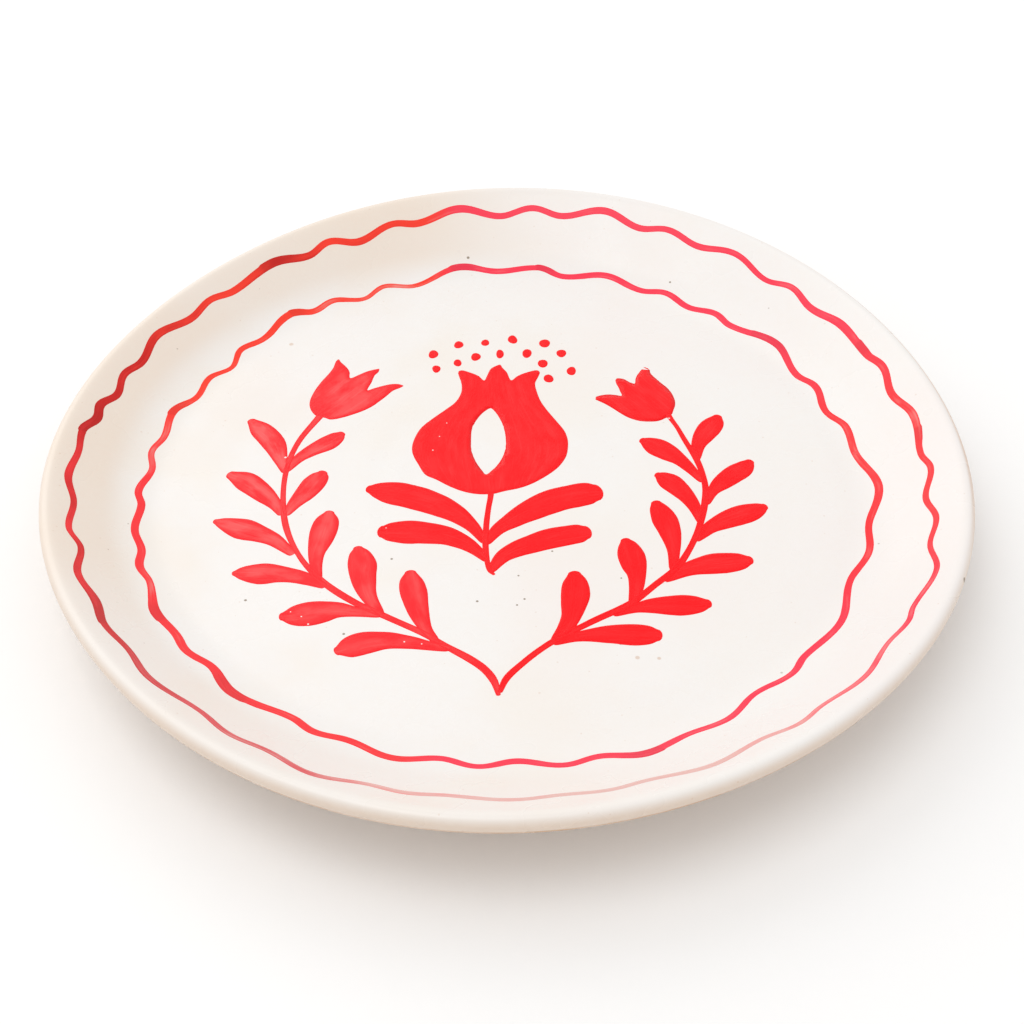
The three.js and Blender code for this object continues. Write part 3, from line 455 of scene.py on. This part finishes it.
def film_piece(name, centre, normal, half, along, look, layer, twice, tone, closed=False):
    """The mesh of a brush mark from its centre line, sideways direction and half width. twice is
    how much of a second coat each row has, and tone how thin or dark the paint is there."""
    rows, columns = len(centre), len(ACROSS)
    left = half * (1 + wobble(name + " left", along, EDGE_WANDER, EDGE_WAVELENGTH))
    right = half * (1 + wobble(name + " right", along, EDGE_WANDER, EDGE_WAVELENGTH))
    sideways = np.where(ACROSS[None] > 0, left[:, None], right[:, None]) * ACROSS[None]
    x = centre[:, :1] + normal[:, :1] * sideways
    y = centre[:, 1:2] + normal[:, 1:2] * sideways
    top = np.broadcast_to(FILM * (PAINT_TOP + layer), x.shape)
    under = [columns - 1, columns // 2, 0]
    x, y = np.hstack([x, x[:, under]]), np.hstack([y, y[:, under]])
    lift = np.hstack([top, np.full((rows, UNDERSIDE_COLUMNS), PAINT_UNDER)])
    sideways = np.hstack([sideways, sideways[:, under]])
    wide = columns + UNDERSIDE_COLUMNS
    points = on_glaze(x.ravel(), y.ravel(), lift.ravel())
    faces = grid_faces(rows, wide, wrap_rows=closed, wrap_columns=True)
    is_smooth = [True] * (columns - 1) + [False] * (UNDERSIDE_COLUMNS + 1)
    is_smooth *= len(faces) // wide
    if not closed:
        faces.append(tuple(range(wide - 1, -1, -1)))
        faces.append(tuple(range((rows - 1) * wide, rows * wide)))
        is_smooth += [False] * 2
    seed = random.Random(name).uniform(0, PATTERN_RANGE)
    length = np.repeat(along, wide)
    edge = np.abs(sideways) / half[:, None]
    brush = np.stack([sideways.ravel(), length, np.full(rows * wide, seed)], 1)
    load = np.stack([np.repeat(twice, wide), edge.ravel(), np.repeat(tone, wide)], 1)
    make_piece("painted_" + name, points, faces, is_smooth, look, name,
        {"brush": brush, "load": load})


def make_stroke(name, stations, look, layer, thin):
    rows = stroke_rows(stations)
    ahead = np.gradient(rows[:, :2], axis=0)
    ahead /= np.linalg.norm(ahead, axis=1)[:, None]
    normal = np.stack([-ahead[:, 1], ahead[:, 0]], 1)
    along = np.linalg.norm(np.diff(rows[:, :2], axis=0, prepend=rows[:1, :2]), axis=1).cumsum()
    film_piece(name, rows[:, :2], normal, rows[:, 2], along, look, layer,
        1 - smooth_step(*START_COAT, along), np.full(len(rows), thin))


def from_the_stem(leaf, root):
    """A leaf's stations with its start pulled back on to the stem, and its wet paint spread."""
    (x, y, width), (next_x, next_y, _) = leaf[:2]
    step = root / math.hypot(x - next_x, y - next_y)
    start = [x + (x - next_x) * step, y + (y - next_y) * step, width]
    return [start] + [[x, y, width + SPREAD] for x, y, width in leaf]


def make_wavy_line(name, look):
    stations = np.array(WAVY_LINES[name])
    after = np.roll(stations, -1, 0)
    after[-1, 0] += 360
    part = np.arange(WAVE_STEPS) / WAVE_STEPS
    ease = (1 - np.cos(math.pi * part)) / 2
    degrees, _, width, shade = ((start[:, None] + (end - start)[:, None] * part).ravel()
        for start, end in zip(stations.T, after.T))
    radius = (stations[:, 1:2] + (after - stations)[:, 1:2] * ease).ravel()
    twice = np.zeros(len(degrees))
    for start, end in RESTARTS[name]:
        twice += smooth_step(start, (start + end) / 2, degrees) * (degrees < end)
    radius += RESTART_SHIFT * twice
    turn = np.radians(degrees)
    centre = np.stack([radius * np.cos(turn), radius * np.sin(turn)], 1)
    ahead = np.roll(centre, -1, 0) - np.roll(centre, 1, 0)
    ahead /= np.linalg.norm(ahead, axis=1)[:, None]
    normal = np.stack([-ahead[:, 1], ahead[:, 0]], 1)
    along = np.linalg.norm(centre - np.roll(centre, 1, 0), axis=1).cumsum()
    film_piece(name, centre, normal, width / 2 * (1 + RESTART_SWELL * twice), along, look,
        0, twice, shade, closed=True)


def is_in(points, outline):
    """Which points lie inside a closed outline, by counting the edges that each one is left of."""
    inside = np.zeros(len(points), bool)
    for (ax, ay), (bx, by) in zip(outline, np.roll(outline, -1, 0)):
        if ay == by:
            continue
        crosses = (points[:, 1] < ay) != (points[:, 1] < by)
        inside ^= crosses & (points[:, 0] < ax + (points[:, 1] - ay) * (bx - ax) / (by - ay))
    return inside


def is_painted(points, loops):
    painted = is_in(points, loops[0])
    for opening in loops[1:]:
        painted &= ~is_in(points, opening)
    return painted


def gap_to(points, fringe):
    return np.linalg.norm(points[:, None] - fringe[None], axis=2).min(1)


def make_filled_shape(name, outline, opening, brush_lines, look, layer, thin):
    """A filled brush shape, with its film rising from the outline. brush_lines gives how far
    across and along the brush's path each point is, layer how far its film stands above the
    marks under it, and thin how thin its paint is."""
    loops = [curve_through(loop, OUTLINE_STEPS, closed=True) for loop in (outline, opening) if loop]
    fringe = np.vstack(loops)
    low, high = fringe.min(0), fringe.max(0)
    grid = np.meshgrid(*(np.arange(start, end, FILL_SPACING) for start, end in zip(low, high)))
    grid = np.stack(grid, 2).reshape(-1, 2)
    insets = []
    for loop, side in zip(loops, (-1, 1)):
        ahead = np.roll(loop, -1, 0) - np.roll(loop, 1, 0)
        ahead /= np.linalg.norm(ahead, axis=1)[:, None]
        insets.append(loop + FILL_INSET * np.stack([-ahead[:, 1], ahead[:, 0]], 1) * side)
    insets = np.vstack(insets)
    insets = insets[gap_to(insets, fringe) > INSET_SHARE * FILL_INSET]
    grid = grid[gap_to(grid, fringe) > FILL_MARGIN]
    inner = np.vstack([insets, grid])
    places = np.vstack([fringe, inner[is_painted(inner, loops)]])
    edges, start = [], 0
    for loop in loops:
        edges += [(start + i, start + (i + 1) % len(loop)) for i in range(len(loop))]
        start += len(loop)
    corners = [Vector(p) for p in places]
    flat, _, triangles, *_ = delaunay_2d_cdt(corners, edges, [], 0, MERGE_GAP)
    flat = np.array([tuple(p) for p in flat])
    triangles = np.array(triangles)
    triangles = triangles[is_painted(flat[triangles].mean(1), loops)]
    depth = gap_to(flat, fringe)
    top = on_glaze(*flat.T, smooth_step(0, FILL_RISE, depth) * (PAINT_TOP + layer))
    under = on_glaze(*flat.T, np.full(len(flat), PAINT_UNDER))
    sides = {(a, b) for t in triangles.tolist() for a, b in zip(t, t[1:] + t[:1])}
    count = len(flat)
    faces = [tuple(t) for t in triangles.tolist()]
    faces += [(c + count, b + count, a + count) for a, b, c in triangles.tolist()]
    faces += [(b, a, a + count, b + count) for a, b in sides if (b, a) not in sides]
    across, along = brush_lines(*flat.T)
    seed = np.full(count, random.Random(name).uniform(0, PATTERN_RANGE))
    edge = 1 - np.clip(depth / FILL_EDGE, 0, 1)
    brush = np.tile(np.stack([across, along, seed], 1), (2, 1))
    load = np.tile(np.stack([np.zeros(count), edge, np.full(count, thin)], 1), (2, 1))
    is_smooth = np.arange(len(faces)) < len(triangles)
    make_piece("painted_" + name, np.vstack([top, under]), faces, is_smooth, look, name,
        {"brush": brush, "load": load})


def make_seed(name, x, y, width, height, look):
    """A dab of the brush's point: a slightly uneven oval."""
    rng = random.Random(name)
    turns = np.linspace(0, math.tau, SEED_SIDES, endpoint=False)
    uneven = (1 + rng.uniform(*SEED_OVAL) * np.cos(2 * turns + rng.uniform(0, math.tau))
        + rng.uniform(*SEED_LUMPS) * np.cos(3 * turns + rng.uniform(0, math.tau)))
    across = (width + SPREAD) / 2 * uneven * np.cos(turns)
    upward = (height + SPREAD) / 2 * uneven * np.sin(turns)
    points = np.vstack([on_glaze(x + across * size, y + upward * size, np.full(SEED_SIDES, lift))
        for size, lift, _ in SEED_RINGS])
    last = len(points)
    faces = grid_faces(len(SEED_RINGS), SEED_SIDES, wrap_columns=True)
    faces.append(tuple(range(SEED_SIDES - 1, -1, -1)))
    faces.append(tuple(range(last - SEED_SIDES, last)))
    is_smooth = [False] * SEED_SIDES + [True] * (last - 2 * SEED_SIDES) + [False, True]
    seed = np.full(last, rng.uniform(0, PATTERN_RANGE))
    brush = np.stack([points[:, 0] - x, points[:, 1] - y, seed], 1)
    edge = np.repeat([nearness for *_, nearness in SEED_RINGS], SEED_SIDES)
    load = np.stack([np.zeros(last), edge, np.full(last, SEED_TONE)], 1)
    make_piece("painted_" + name, points, faces, is_smooth, look, name,
        {"brush": brush, "load": load})


# ---- materials ----
class Look:
    """One material's nodes. Inputs are sockets, numbers or colours, by the socket's name or index."""

    def __init__(self, name):
        self.material = bpy.data.materials.new(name)
        self.material.use_nodes = True
        self.tree = self.material.node_tree
        self.tree.nodes.clear()
        self.place = self.add("TexCoord").outputs["Object"]

    def add(self, kind, inputs=None, **settings):
        node = self.tree.nodes.new("ShaderNode" + kind)
        for key, value in settings.items():
            setattr(node, key, value)
        for key, value in (inputs or {}).items():
            if isinstance(value, bpy.types.NodeSocket):
                self.tree.links.new(value, node.inputs[key])
            else:
                node.inputs[key].default_value = value
        return node

    def math(self, operation, a, b=0.0):
        return self.add("Math", {0: a, 1: b}, operation=operation).outputs[0]

    def ramp(self, value, low, high, to_low=0.0, to_high=1.0):
        return self.add("MapRange", {"Value": value, "From Min": low, "From Max": high,
            "To Min": to_low, "To Max": to_high}, interpolation_type="SMOOTHSTEP").outputs[0]

    def mix(self, share, a, b):
        return self.add("Mix", {0: share, 6: a, 7: b}, data_type="RGBA").outputs[2]

    def noise(self, vector, scale, detail=2.0):
        """Smooth noise from 0 to 1, with about this many lumps to one unit of the vector."""
        return self.add("TexNoise", {"Vector": vector, "Scale": scale, "Detail": detail}).outputs[0]

    def attribute(self, name, output="Vector"):
        return self.add("Attribute", attribute_name=name).outputs[output]

    def parts(self, vector):
        return self.add("SeparateXYZ", {0: vector}).outputs

    def random_spots(self, cell, radius, share):
        """Round spots up to this radius in some of the cells that fill the space, in mm."""
        cells = self.add("TexVoronoi", {"Vector": self.place, "Scale": 1 / (cell * MM)}).outputs
        size, chosen, _ = self.parts(cells["Color"])
        size = self.math("MULTIPLY", size, radius / cell)
        size = self.math("MULTIPLY", size, self.math("LESS_THAN", chosen, share))
        return self.ramp(self.math("SUBTRACT", size, cells["Distance"]), 0.0, 0.03)

    def spots(self, places):
        """A soft round spot at each [x, y, radius] of the glaze, in mm."""
        found = 0.0
        for x, y, radius in places:
            middle = on_glaze(np.array([x]), np.array([y]), 0)[0]
            found = self.math("MAXIMUM", self.spot(middle, radius), found)
        return found

    def spot(self, middle, radius):
        offset = self.add("VectorMath", {0: self.place, 1: tuple(np.multiply(middle, MM))},
            operation="DISTANCE").outputs["Value"]
        return self.ramp(offset, radius * MM * 0.6, radius * MM * 1.1, 1.0, 0.0)

    def finish(self, color, roughness, bumps, **constants):
        """bumps are (height, depth in mm) pairs; constants go straight on the shader's sockets."""
        normal = None
        for height, depth in bumps:
            inputs = {"Height": height, "Distance": depth * MM, "Strength": 1.0}
            if normal:
                inputs["Normal"] = normal
            normal = self.add("Bump", inputs).outputs[0]
        shader = self.add("BsdfPrincipled", {"Base Color": color, "Roughness": roughness,
            "Normal": normal, **{key.replace("_", " "): v for key, v in constants.items()}})
        self.add("OutputMaterial", {"Surface": shader.outputs[0]})
        return self.material


# Linear red, green, blue and alpha.
GLAZE_WHITE = (0.872, 0.844, 0.818, 1)
GLAZE_CREAM = (0.86, 0.79, 0.71, 1)
GLAZE_PINK = (0.868, 0.8, 0.775, 1)
# painted shade: the darker, warmer tone of the shaded left inner wall
SHADED_WALL_GLAZE = (0.84, 0.715, 0.6, 1)
# the outside's warmer glaze, darkened as painted shade
OUTER_GLAZE_AND_SHADE = (0.745, 0.6, 0.485, 1)
IRON = (0.19, 0.125, 0.06, 1)
TAN = (0.58, 0.34, 0.18, 1)
CLAY = (0.58, 0.4, 0.27, 1)
VERMILION = (0.95, 0.003, 0.007, 1)
VERMILION_THIN = (0.96, 0.022, 0.026, 1)
THIN_RED = (0.94, 0.014, 0.021, 1)
THIN_RED_LIGHT = (0.96, 0.105, 0.105, 1)
PALE_RED = (0.95, 0.2, 0.19, 1)
RING_RED = (0.94, 0.038, 0.045, 1)
RING_PINKISH = (0.95, 0.045, 0.088, 1)
RING_ORANGE = (0.95, 0.05, 0.028, 1)
# painted shade: the outer line's red where the front-left wall is in shade
RING_SHADED = (0.72, 0.09, 0.1, 1)
RING_PALE = (0.775, 0.48, 0.44, 1)
RING_DARK = (0.58, 0.014, 0.012, 1)

PEEL_SCALE = 230              # lumps in a metre
PEEL_DEPTH = 0.01             # these depths are in millimetres
GRAIN_DEPTH = 0.08
STREAK_DEPTH = 0.004


def glaze_color(look, up_the_lip, x, y, height):
    """Milky white with slow clouds of cream and pink, stronger towards -X, and fine mottling. All over
    the outside it is warmer and darker, a warmer glaze with painted shade over it, and up the left wall
    it is darker and warmer as painted shade."""
    clouds = look.ramp(look.noise(look.place, 22, 3), 0.42, 0.68)
    blush = look.ramp(look.noise(look.place, 13, 2), 0.5, 0.72)
    mottle = look.noise(look.place, 420, 3)
    clouds = look.math("MULTIPLY", clouds, look.ramp(x, 80 * MM, -30 * MM, 0.1, 0.6))
    color = look.mix(clouds, GLAZE_WHITE, GLAZE_CREAM)
    color = look.mix(look.math("MULTIPLY", blush, 0.45), color, GLAZE_PINK)
    # painted shade: the left wall darker and warmer, strongest at the back left and weaker towards the
    # front
    left_wall_shade = look.math("MULTIPLY", look.ramp(x, 40 * MM, -40 * MM),
        look.ramp(height, (WELL_TOP + 0.5) * MM, (WELL_TOP + 6) * MM))
    left_wall_shade = look.math("MULTIPLY", left_wall_shade, look.ramp(look.noise(look.place, 16, 2), 0.3, 0.6, 0.6))
    left_wall_shade = look.math("MULTIPLY", left_wall_shade, look.ramp(y, -90 * MM, -30 * MM, 0.35))
    color = look.mix(look.math("MULTIPLY", left_wall_shade, 0.8), color, SHADED_WALL_GLAZE)
    # painted shade: the whole outside, lip face and underside, darker and warmer
    outside = look.ramp(up_the_lip, 3, 6, 1.0, 0.0)
    color = look.mix(look.math("MULTIPLY", outside, 0.9), color, OUTER_GLAZE_AND_SHADE)
    return look.mix(look.ramp(mottle, 0.35, 0.75, 0.0, 0.12), color, GLAZE_CREAM)


def add_marks(look, color):
    """Scattered specks, then the listed ones, then the chip on the lip."""
    for marks, strength, tint in (
            (look.random_spots(2.6, 0.36, 0.4), 0.2, TAN),
            (look.random_spots(7, 0.3, 0.35), 0.5, IRON),
            (look.spots(IRON_SPECKS), 0.8, IRON),
            (look.spots(FAINT_SPECKS), 0.4, IRON),
            (look.spots(TAN_SPOTS), 0.45, TAN),
            (look.spot(*LIP_CHIP), 0.9, IRON)):
        color = look.mix(look.math("MULTIPLY", marks, strength), color, tint)
    return color


def add_lip_lines(look, color, up_the_lip, x, y):
    """A broken tan line along the lip's lower corner, and above it at the back right a fainter band of
    painted shade over a thinner glaze.
    """
    offset = look.math("ABSOLUTE", look.math("SUBTRACT", up_the_lip, 0.7))
    breaks = look.noise(look.place, 90, 2)
    thin_edge = look.math("MULTIPLY", look.ramp(offset, 0.5, 1.15, 1.0, 0.0),
        look.ramp(breaks, 0.35, 0.6, 0.5, 1.0))
    color = look.mix(look.math("MULTIPLY", thin_edge, 0.9), color, TAN)
    # painted shade: a tan band on the lip's outer side at the back right, over a thinner glaze
    shoulder_shade = look.math("MULTIPLY", look.ramp(up_the_lip, 1.6, 2.4), look.ramp(up_the_lip, 5.8, 4.6))
    far_side = look.math("MULTIPLY", look.ramp(x, -100 * MM, -20 * MM), look.ramp(y, -50 * MM, 0.0))
    shoulder_shade = look.math("MULTIPLY", shoulder_shade, far_side)
    return look.mix(look.math("MULTIPLY", shoulder_shade, 0.55), color, TAN)


def glaze_look():
    """Satin glaze all over, down to a ragged edge above the bare clay that the plate stands on."""
    look = Look("satin_glaze")
    x, y, height = look.parts(look.place)
    up_the_lip = look.attribute("from_lip_corner", "Fac")
    color = glaze_color(look, up_the_lip, x, y, height)
    color = add_marks(look, color)
    color = add_lip_lines(look, color, up_the_lip, x, y)
    rags = look.math("MULTIPLY", look.noise(look.place, 160, 3), 1.6 * MM)
    bare = look.ramp(look.math("ADD", height, rags), 1.4 * MM, 1.8 * MM, 1.0, 0.0)
    grain = look.noise(look.place, 1500, 4)
    clay = look.mix(look.ramp(grain, 0.3, 0.7, 0.0, 0.35), CLAY, IRON)
    color = look.mix(bare, color, clay)
    gloss = look.ramp(look.noise(look.place, 55, 3), 0.3, 0.7, 0.24, 0.36)
    gloss = look.math("ADD", gloss, look.math("MULTIPLY", bare, 0.6))
    peel = look.noise(look.place, PEEL_SCALE, 2)
    return look.finish(color, gloss,
        [(peel, PEEL_DEPTH), (look.math("MULTIPLY", grain, bare), GRAIN_DEPTH)],
        Specular_IOR_Level=0.42, Coat_Weight=0.04, Coat_Roughness=0.1)


def brushwork(look):
    """How streaky and how patchy a mark is, and how near its middle, each from 0 to 1."""
    across, along, seed = look.parts(look.attribute("brush"))
    edge = look.parts(look.attribute("load"))[1]
    hairs = look.add("CombineXYZ", {0: look.math("MULTIPLY", across, 1.1),
        1: look.math("MULTIPLY", along, 0.075), 2: seed}).outputs[0]
    pools = look.add("CombineXYZ", {0: look.math("MULTIPLY", across, 0.28),
        1: look.math("MULTIPLY", along, 0.12), 2: seed}).outputs[0]
    streaks = look.ramp(look.noise(hairs, 1.0, 2), 0.4, 0.75)
    patches = look.ramp(look.noise(pools, 1.0, 3), 0.34, 0.66)
    return streaks, patches, look.ramp(edge, 0.3, 0.95, 1.0, 0.0)


def finish_paint(look, color, streaks, overlap_depth):
    """Adds what all the paint has: a darker second coat, pinholes and a soft gloss."""
    overlap = look.math("MULTIPLY", look.parts(look.attribute("load"))[0], overlap_depth)
    darker = look.add("HueSaturation", {"Value": 0.72, "Color": color}).outputs[0]
    color = look.mix(overlap, color, darker)
    holes = look.math("MAXIMUM", look.spots(PINHOLES), look.random_spots(5.5, 0.17, 0.14))
    color = look.mix(holes, color, GLAZE_WHITE)
    gloss = look.ramp(streaks, 0.0, 1.0, 0.24, 0.32)
    peel = look.noise(look.place, PEEL_SCALE, 2)
    return look.finish(color, gloss, [(peel, PEEL_DEPTH), (streaks, STREAK_DEPTH)],
        Specular_IOR_Level=0.2)


def paint_look(name, deep, thin, pale, unevenness):
    """Brushed paint: streaks run along each stroke, and thin places let the glaze through."""
    look = Look(name)
    streaks, patches, middle = brushwork(look)
    tone = look.parts(look.attribute("load"))[2]
    light = look.math("MULTIPLY", look.math("ADD", look.math("MULTIPLY", streaks, 0.15),
        look.math("MULTIPLY", patches, 0.85)), middle)
    color = look.mix(look.math("MULTIPLY", light, tone), deep, thin)
    very_thin = look.math("MULTIPLY", look.math("MULTIPLY", streaks, patches), unevenness)
    color = look.mix(look.math("MULTIPLY", very_thin, middle), color, pale)
    return finish_paint(look, color, streaks, 0.12)


def ring_paint_look():
    """The wavy lines' paint, whose shade runs from washed out pink through red to dark red. It is more
    orange at the back left and pinker at the right, and high on the front left wall it is darker and
    duller as painted shade."""
    look = Look("ring_red_paint")
    streaks, patches, middle = brushwork(look)
    uneven = look.math("ADD", look.math("MULTIPLY", streaks, 0.08),
        look.math("MULTIPLY", patches, 0.08))
    uneven = look.math("MULTIPLY", uneven, look.math("ADD", middle, 0.4))
    shade = look.math("SUBTRACT", look.parts(look.attribute("load"))[2], uneven)
    x, y, height = look.parts(look.place)
    warm = look.math("MULTIPLY", look.ramp(x, -14 * MM, -28 * MM), look.ramp(y, 0, 50 * MM))
    cool = look.math("MULTIPLY", look.ramp(x, -28 * MM, -14 * MM),
        look.ramp(look.math("ABSOLUTE", y), 20 * MM, 70 * MM))
    # painted shade: darker, duller red on the outer line high on the front-left wall
    ring_wall_shade = look.math("MULTIPLY", look.ramp(x, -20 * MM, -45 * MM),
        look.ramp(y, -50 * MM, -80 * MM))
    ring_wall_shade = look.math("MULTIPLY", ring_wall_shade, look.ramp(height, 17 * MM, 21 * MM))
    red = look.mix(warm, look.mix(cool, RING_RED, RING_PINKISH), RING_ORANGE)
    red = look.mix(ring_wall_shade, red, RING_SHADED)
    color = look.mix(look.ramp(shade, -0.08, 0.42), RING_PALE, red)
    color = look.mix(look.ramp(shade, 0.45, 0.95), color, RING_DARK)
    return finish_paint(look, color, streaks, 0.45)


# ---- assembly ----
POMEGRANATE_X = -4.6
BELLY_Y = 15
BELLY_HEIGHT = 19
BELLY_SWELL = 12.7
CROWN_HALF_WIDTH = 10
GLOBE_SPREAD = 20             # how far across the brush pattern half the pomegranate reaches


def slanting_lines(degrees):
    """Straight brush lines at this angle from +X."""
    turn = math.radians(degrees)

    def lines(x, y):
        return y * math.cos(turn) - x * math.sin(turn), x * math.cos(turn) + y * math.sin(turn)
    return lines


def globe_lines(x, y):
    """Brush lines that bulge out like the pomegranate's sides, widest across its belly."""
    half_width = CROWN_HALF_WIDTH + BELLY_SWELL * np.exp(-((y - BELLY_Y) / BELLY_HEIGHT) ** 2)
    return (x - POMEGRANATE_X) / half_width * GLOBE_SPREAD, y


LEAF_LAYER = 0.002            # each leaf's film is this much higher than the last one's
FULLER_EACH = 0.12            # and its paint fuller by this share, down the sprig

vermilion = paint_look("vermilion_paint", VERMILION, VERMILION_THIN, PALE_RED, 0.03)
thin_red = paint_look("thin_red_paint", THIN_RED, THIN_RED_LIGHT, PALE_RED, 0.12)
ring_red = ring_paint_look()

make_body(glaze_look())
for line_name in WAVY_LINES:
    make_wavy_line(line_name, ring_red)
make_filled_shape("pomegranate", POMEGRANATE, ALMOND, globe_lines, vermilion,
    layer=0.02, thin=0.6)
make_filled_shape("left_tulip", LEFT_TULIP, None, slanting_lines(50), thin_red,
    layer=0.02, thin=0.7)
make_filled_shape("right_tulip", RIGHT_TULIP, None, slanting_lines(125), vermilion,
    layer=0.02, thin=0.5)
make_stroke("centre_stem", CENTRE_STEM, vermilion, layer=0.01, thin=0.3)
make_stroke("left_stem", LEFT_STEM, thin_red, layer=0.01, thin=0.3)
make_stroke("right_stem", RIGHT_STEM, vermilion, layer=0.015, thin=0.3)
for leaf_name, stations in CENTRE_LEAVES.items():
    make_stroke("centre_leaf_" + leaf_name, from_the_stem(stations, CENTRE_ROOT), vermilion,
        layer=0, thin=0.3)
for group, leaves, look, slot, thin in (
        ("left_outer_leaf", LEFT_OUTER_LEAVES, thin_red, "thin_red", 1.5),
        ("left_inner_leaf", LEFT_INNER_LEAVES, thin_red, "thin_red", 1.1),
        ("right_outer_leaf", RIGHT_OUTER_LEAVES, vermilion, "vermilion", 0.8),
        ("right_inner_leaf", RIGHT_INNER_LEAVES, vermilion, "vermilion", 0.6)):
    for number, stations in enumerate(leaves, 1):
        make_stroke(f"{group}_{number}", from_the_stem(stations, SPRIG_ROOT), look,
            layer=LEAF_LAYER * number, thin=thin * (1 - FULLER_EACH * number))
for number, (x, y, width, height) in enumerate(SEEDS, 1):
    make_seed(f"seed_{number}", x, y, width, height, vermilion)


# ---- floor, lights and camera ----
FLOOR_RADIUS = 6000 * MM
FLOOR_DROP = 0.2 * MM         # keeps the floor just clear of the foot
FLOOR_SIDES = 64


def floor_look():
    look = Look("pale_floor")
    shade = look.noise(look.place, 3, 2)
    color = look.mix(shade, (0.95, 0.95, 0.95, 1), (0.97, 0.967, 0.963, 1))
    return look.finish(color, 0.8, [(look.noise(look.place, 900, 2), 0.02)])


def make_floor():
    mesh = bpy.data.meshes.new("floor")
    turns = np.linspace(0, math.tau, FLOOR_SIDES, endpoint=False)
    corners = [(FLOOR_RADIUS * math.cos(t), FLOOR_RADIUS * math.sin(t), -FLOOR_DROP) for t in turns]
    mesh.from_pydata(corners, [], [tuple(range(FLOOR_SIDES))])
    mesh.materials.append(floor_look())
    floor = bpy.data.objects.new("floor", mesh)
    bpy.context.scene.collection.objects.link(floor)


# Where each light is, its width and height in metres, its watts and its colour.
LIGHTS = {
    "key": ((-1.36, 1.52, 1.52), (2.4, 2.4), 16, (1, 0.988, 0.968)),
    "overhead": ((-0.56, -0.4, 2.4), (1.6, 1.28), 12.7, (1, 0.99, 0.98)),
}
WORLD_COLOR = (1, 1, 1, 1)
WORLD_STRENGTH = 0.8


def add_area_light(name, place, size, power, color):
    """A soft rectangular light that faces the plate and isn't seen itself."""
    light = bpy.data.lights.new(name, "AREA")
    light.shape = "RECTANGLE"
    light.size, light.size_y = size
    light.energy = power
    light.color = color
    lamp = bpy.data.objects.new(name, light)
    lamp.location = place
    lamp.rotation_mode = "QUATERNION"
    lamp.rotation_quaternion = (-Vector(place)).to_track_quat("-Z", "Y")
    lamp.visible_camera = False
    bpy.context.scene.collection.objects.link(lamp)


CAMERA_DISTANCE = 474.6 * MM
CAMERA_AIM = Vector((0, 0, 28 * MM))
CAMERA_ELEVATION = math.radians(40)
CAMERA_PAN = math.radians(0.18)
CAMERA_TILT = math.radians(2.32)
CAMERA_ROLL = math.radians(-0.56)
CAMERA_LENS = 59.77


def make_camera():
    camera = bpy.data.cameras.new("camera")
    camera.lens = CAMERA_LENS
    camera.sensor_width = 36
    camera.clip_start = 0.01
    seat = bpy.data.objects.new("camera", camera)
    back = Vector((0, -math.cos(CAMERA_ELEVATION), math.sin(CAMERA_ELEVATION)))
    right = Vector((1, 0, 0))
    level = Matrix((right, back.cross(right) * -1, back * -1))
    turned = (Matrix.Rotation(CAMERA_ROLL, 3, "Z") @ Matrix.Rotation(CAMERA_TILT, 3, "X")
        @ Matrix.Rotation(-CAMERA_PAN, 3, "Y") @ level)
    facing = turned.transposed() @ Matrix.Diagonal((1, -1, -1))
    place = Matrix.Translation(CAMERA_AIM + back * CAMERA_DISTANCE)
    seat.matrix_world = place @ facing.to_4x4()
    bpy.context.scene.collection.objects.link(seat)
    bpy.context.scene.camera = seat


def light_the_world():
    world = bpy.data.worlds.new("studio")
    world.use_nodes = True
    background = world.node_tree.nodes["Background"].inputs
    background["Color"].default_value = WORLD_COLOR
    background["Strength"].default_value = WORLD_STRENGTH
    bpy.context.scene.world = world


make_floor()
for light_name, setting in LIGHTS.items():
    add_area_light(light_name, *setting)
light_the_world()
bpy.context.scene.view_settings.view_transform = "Standard"
make_camera()
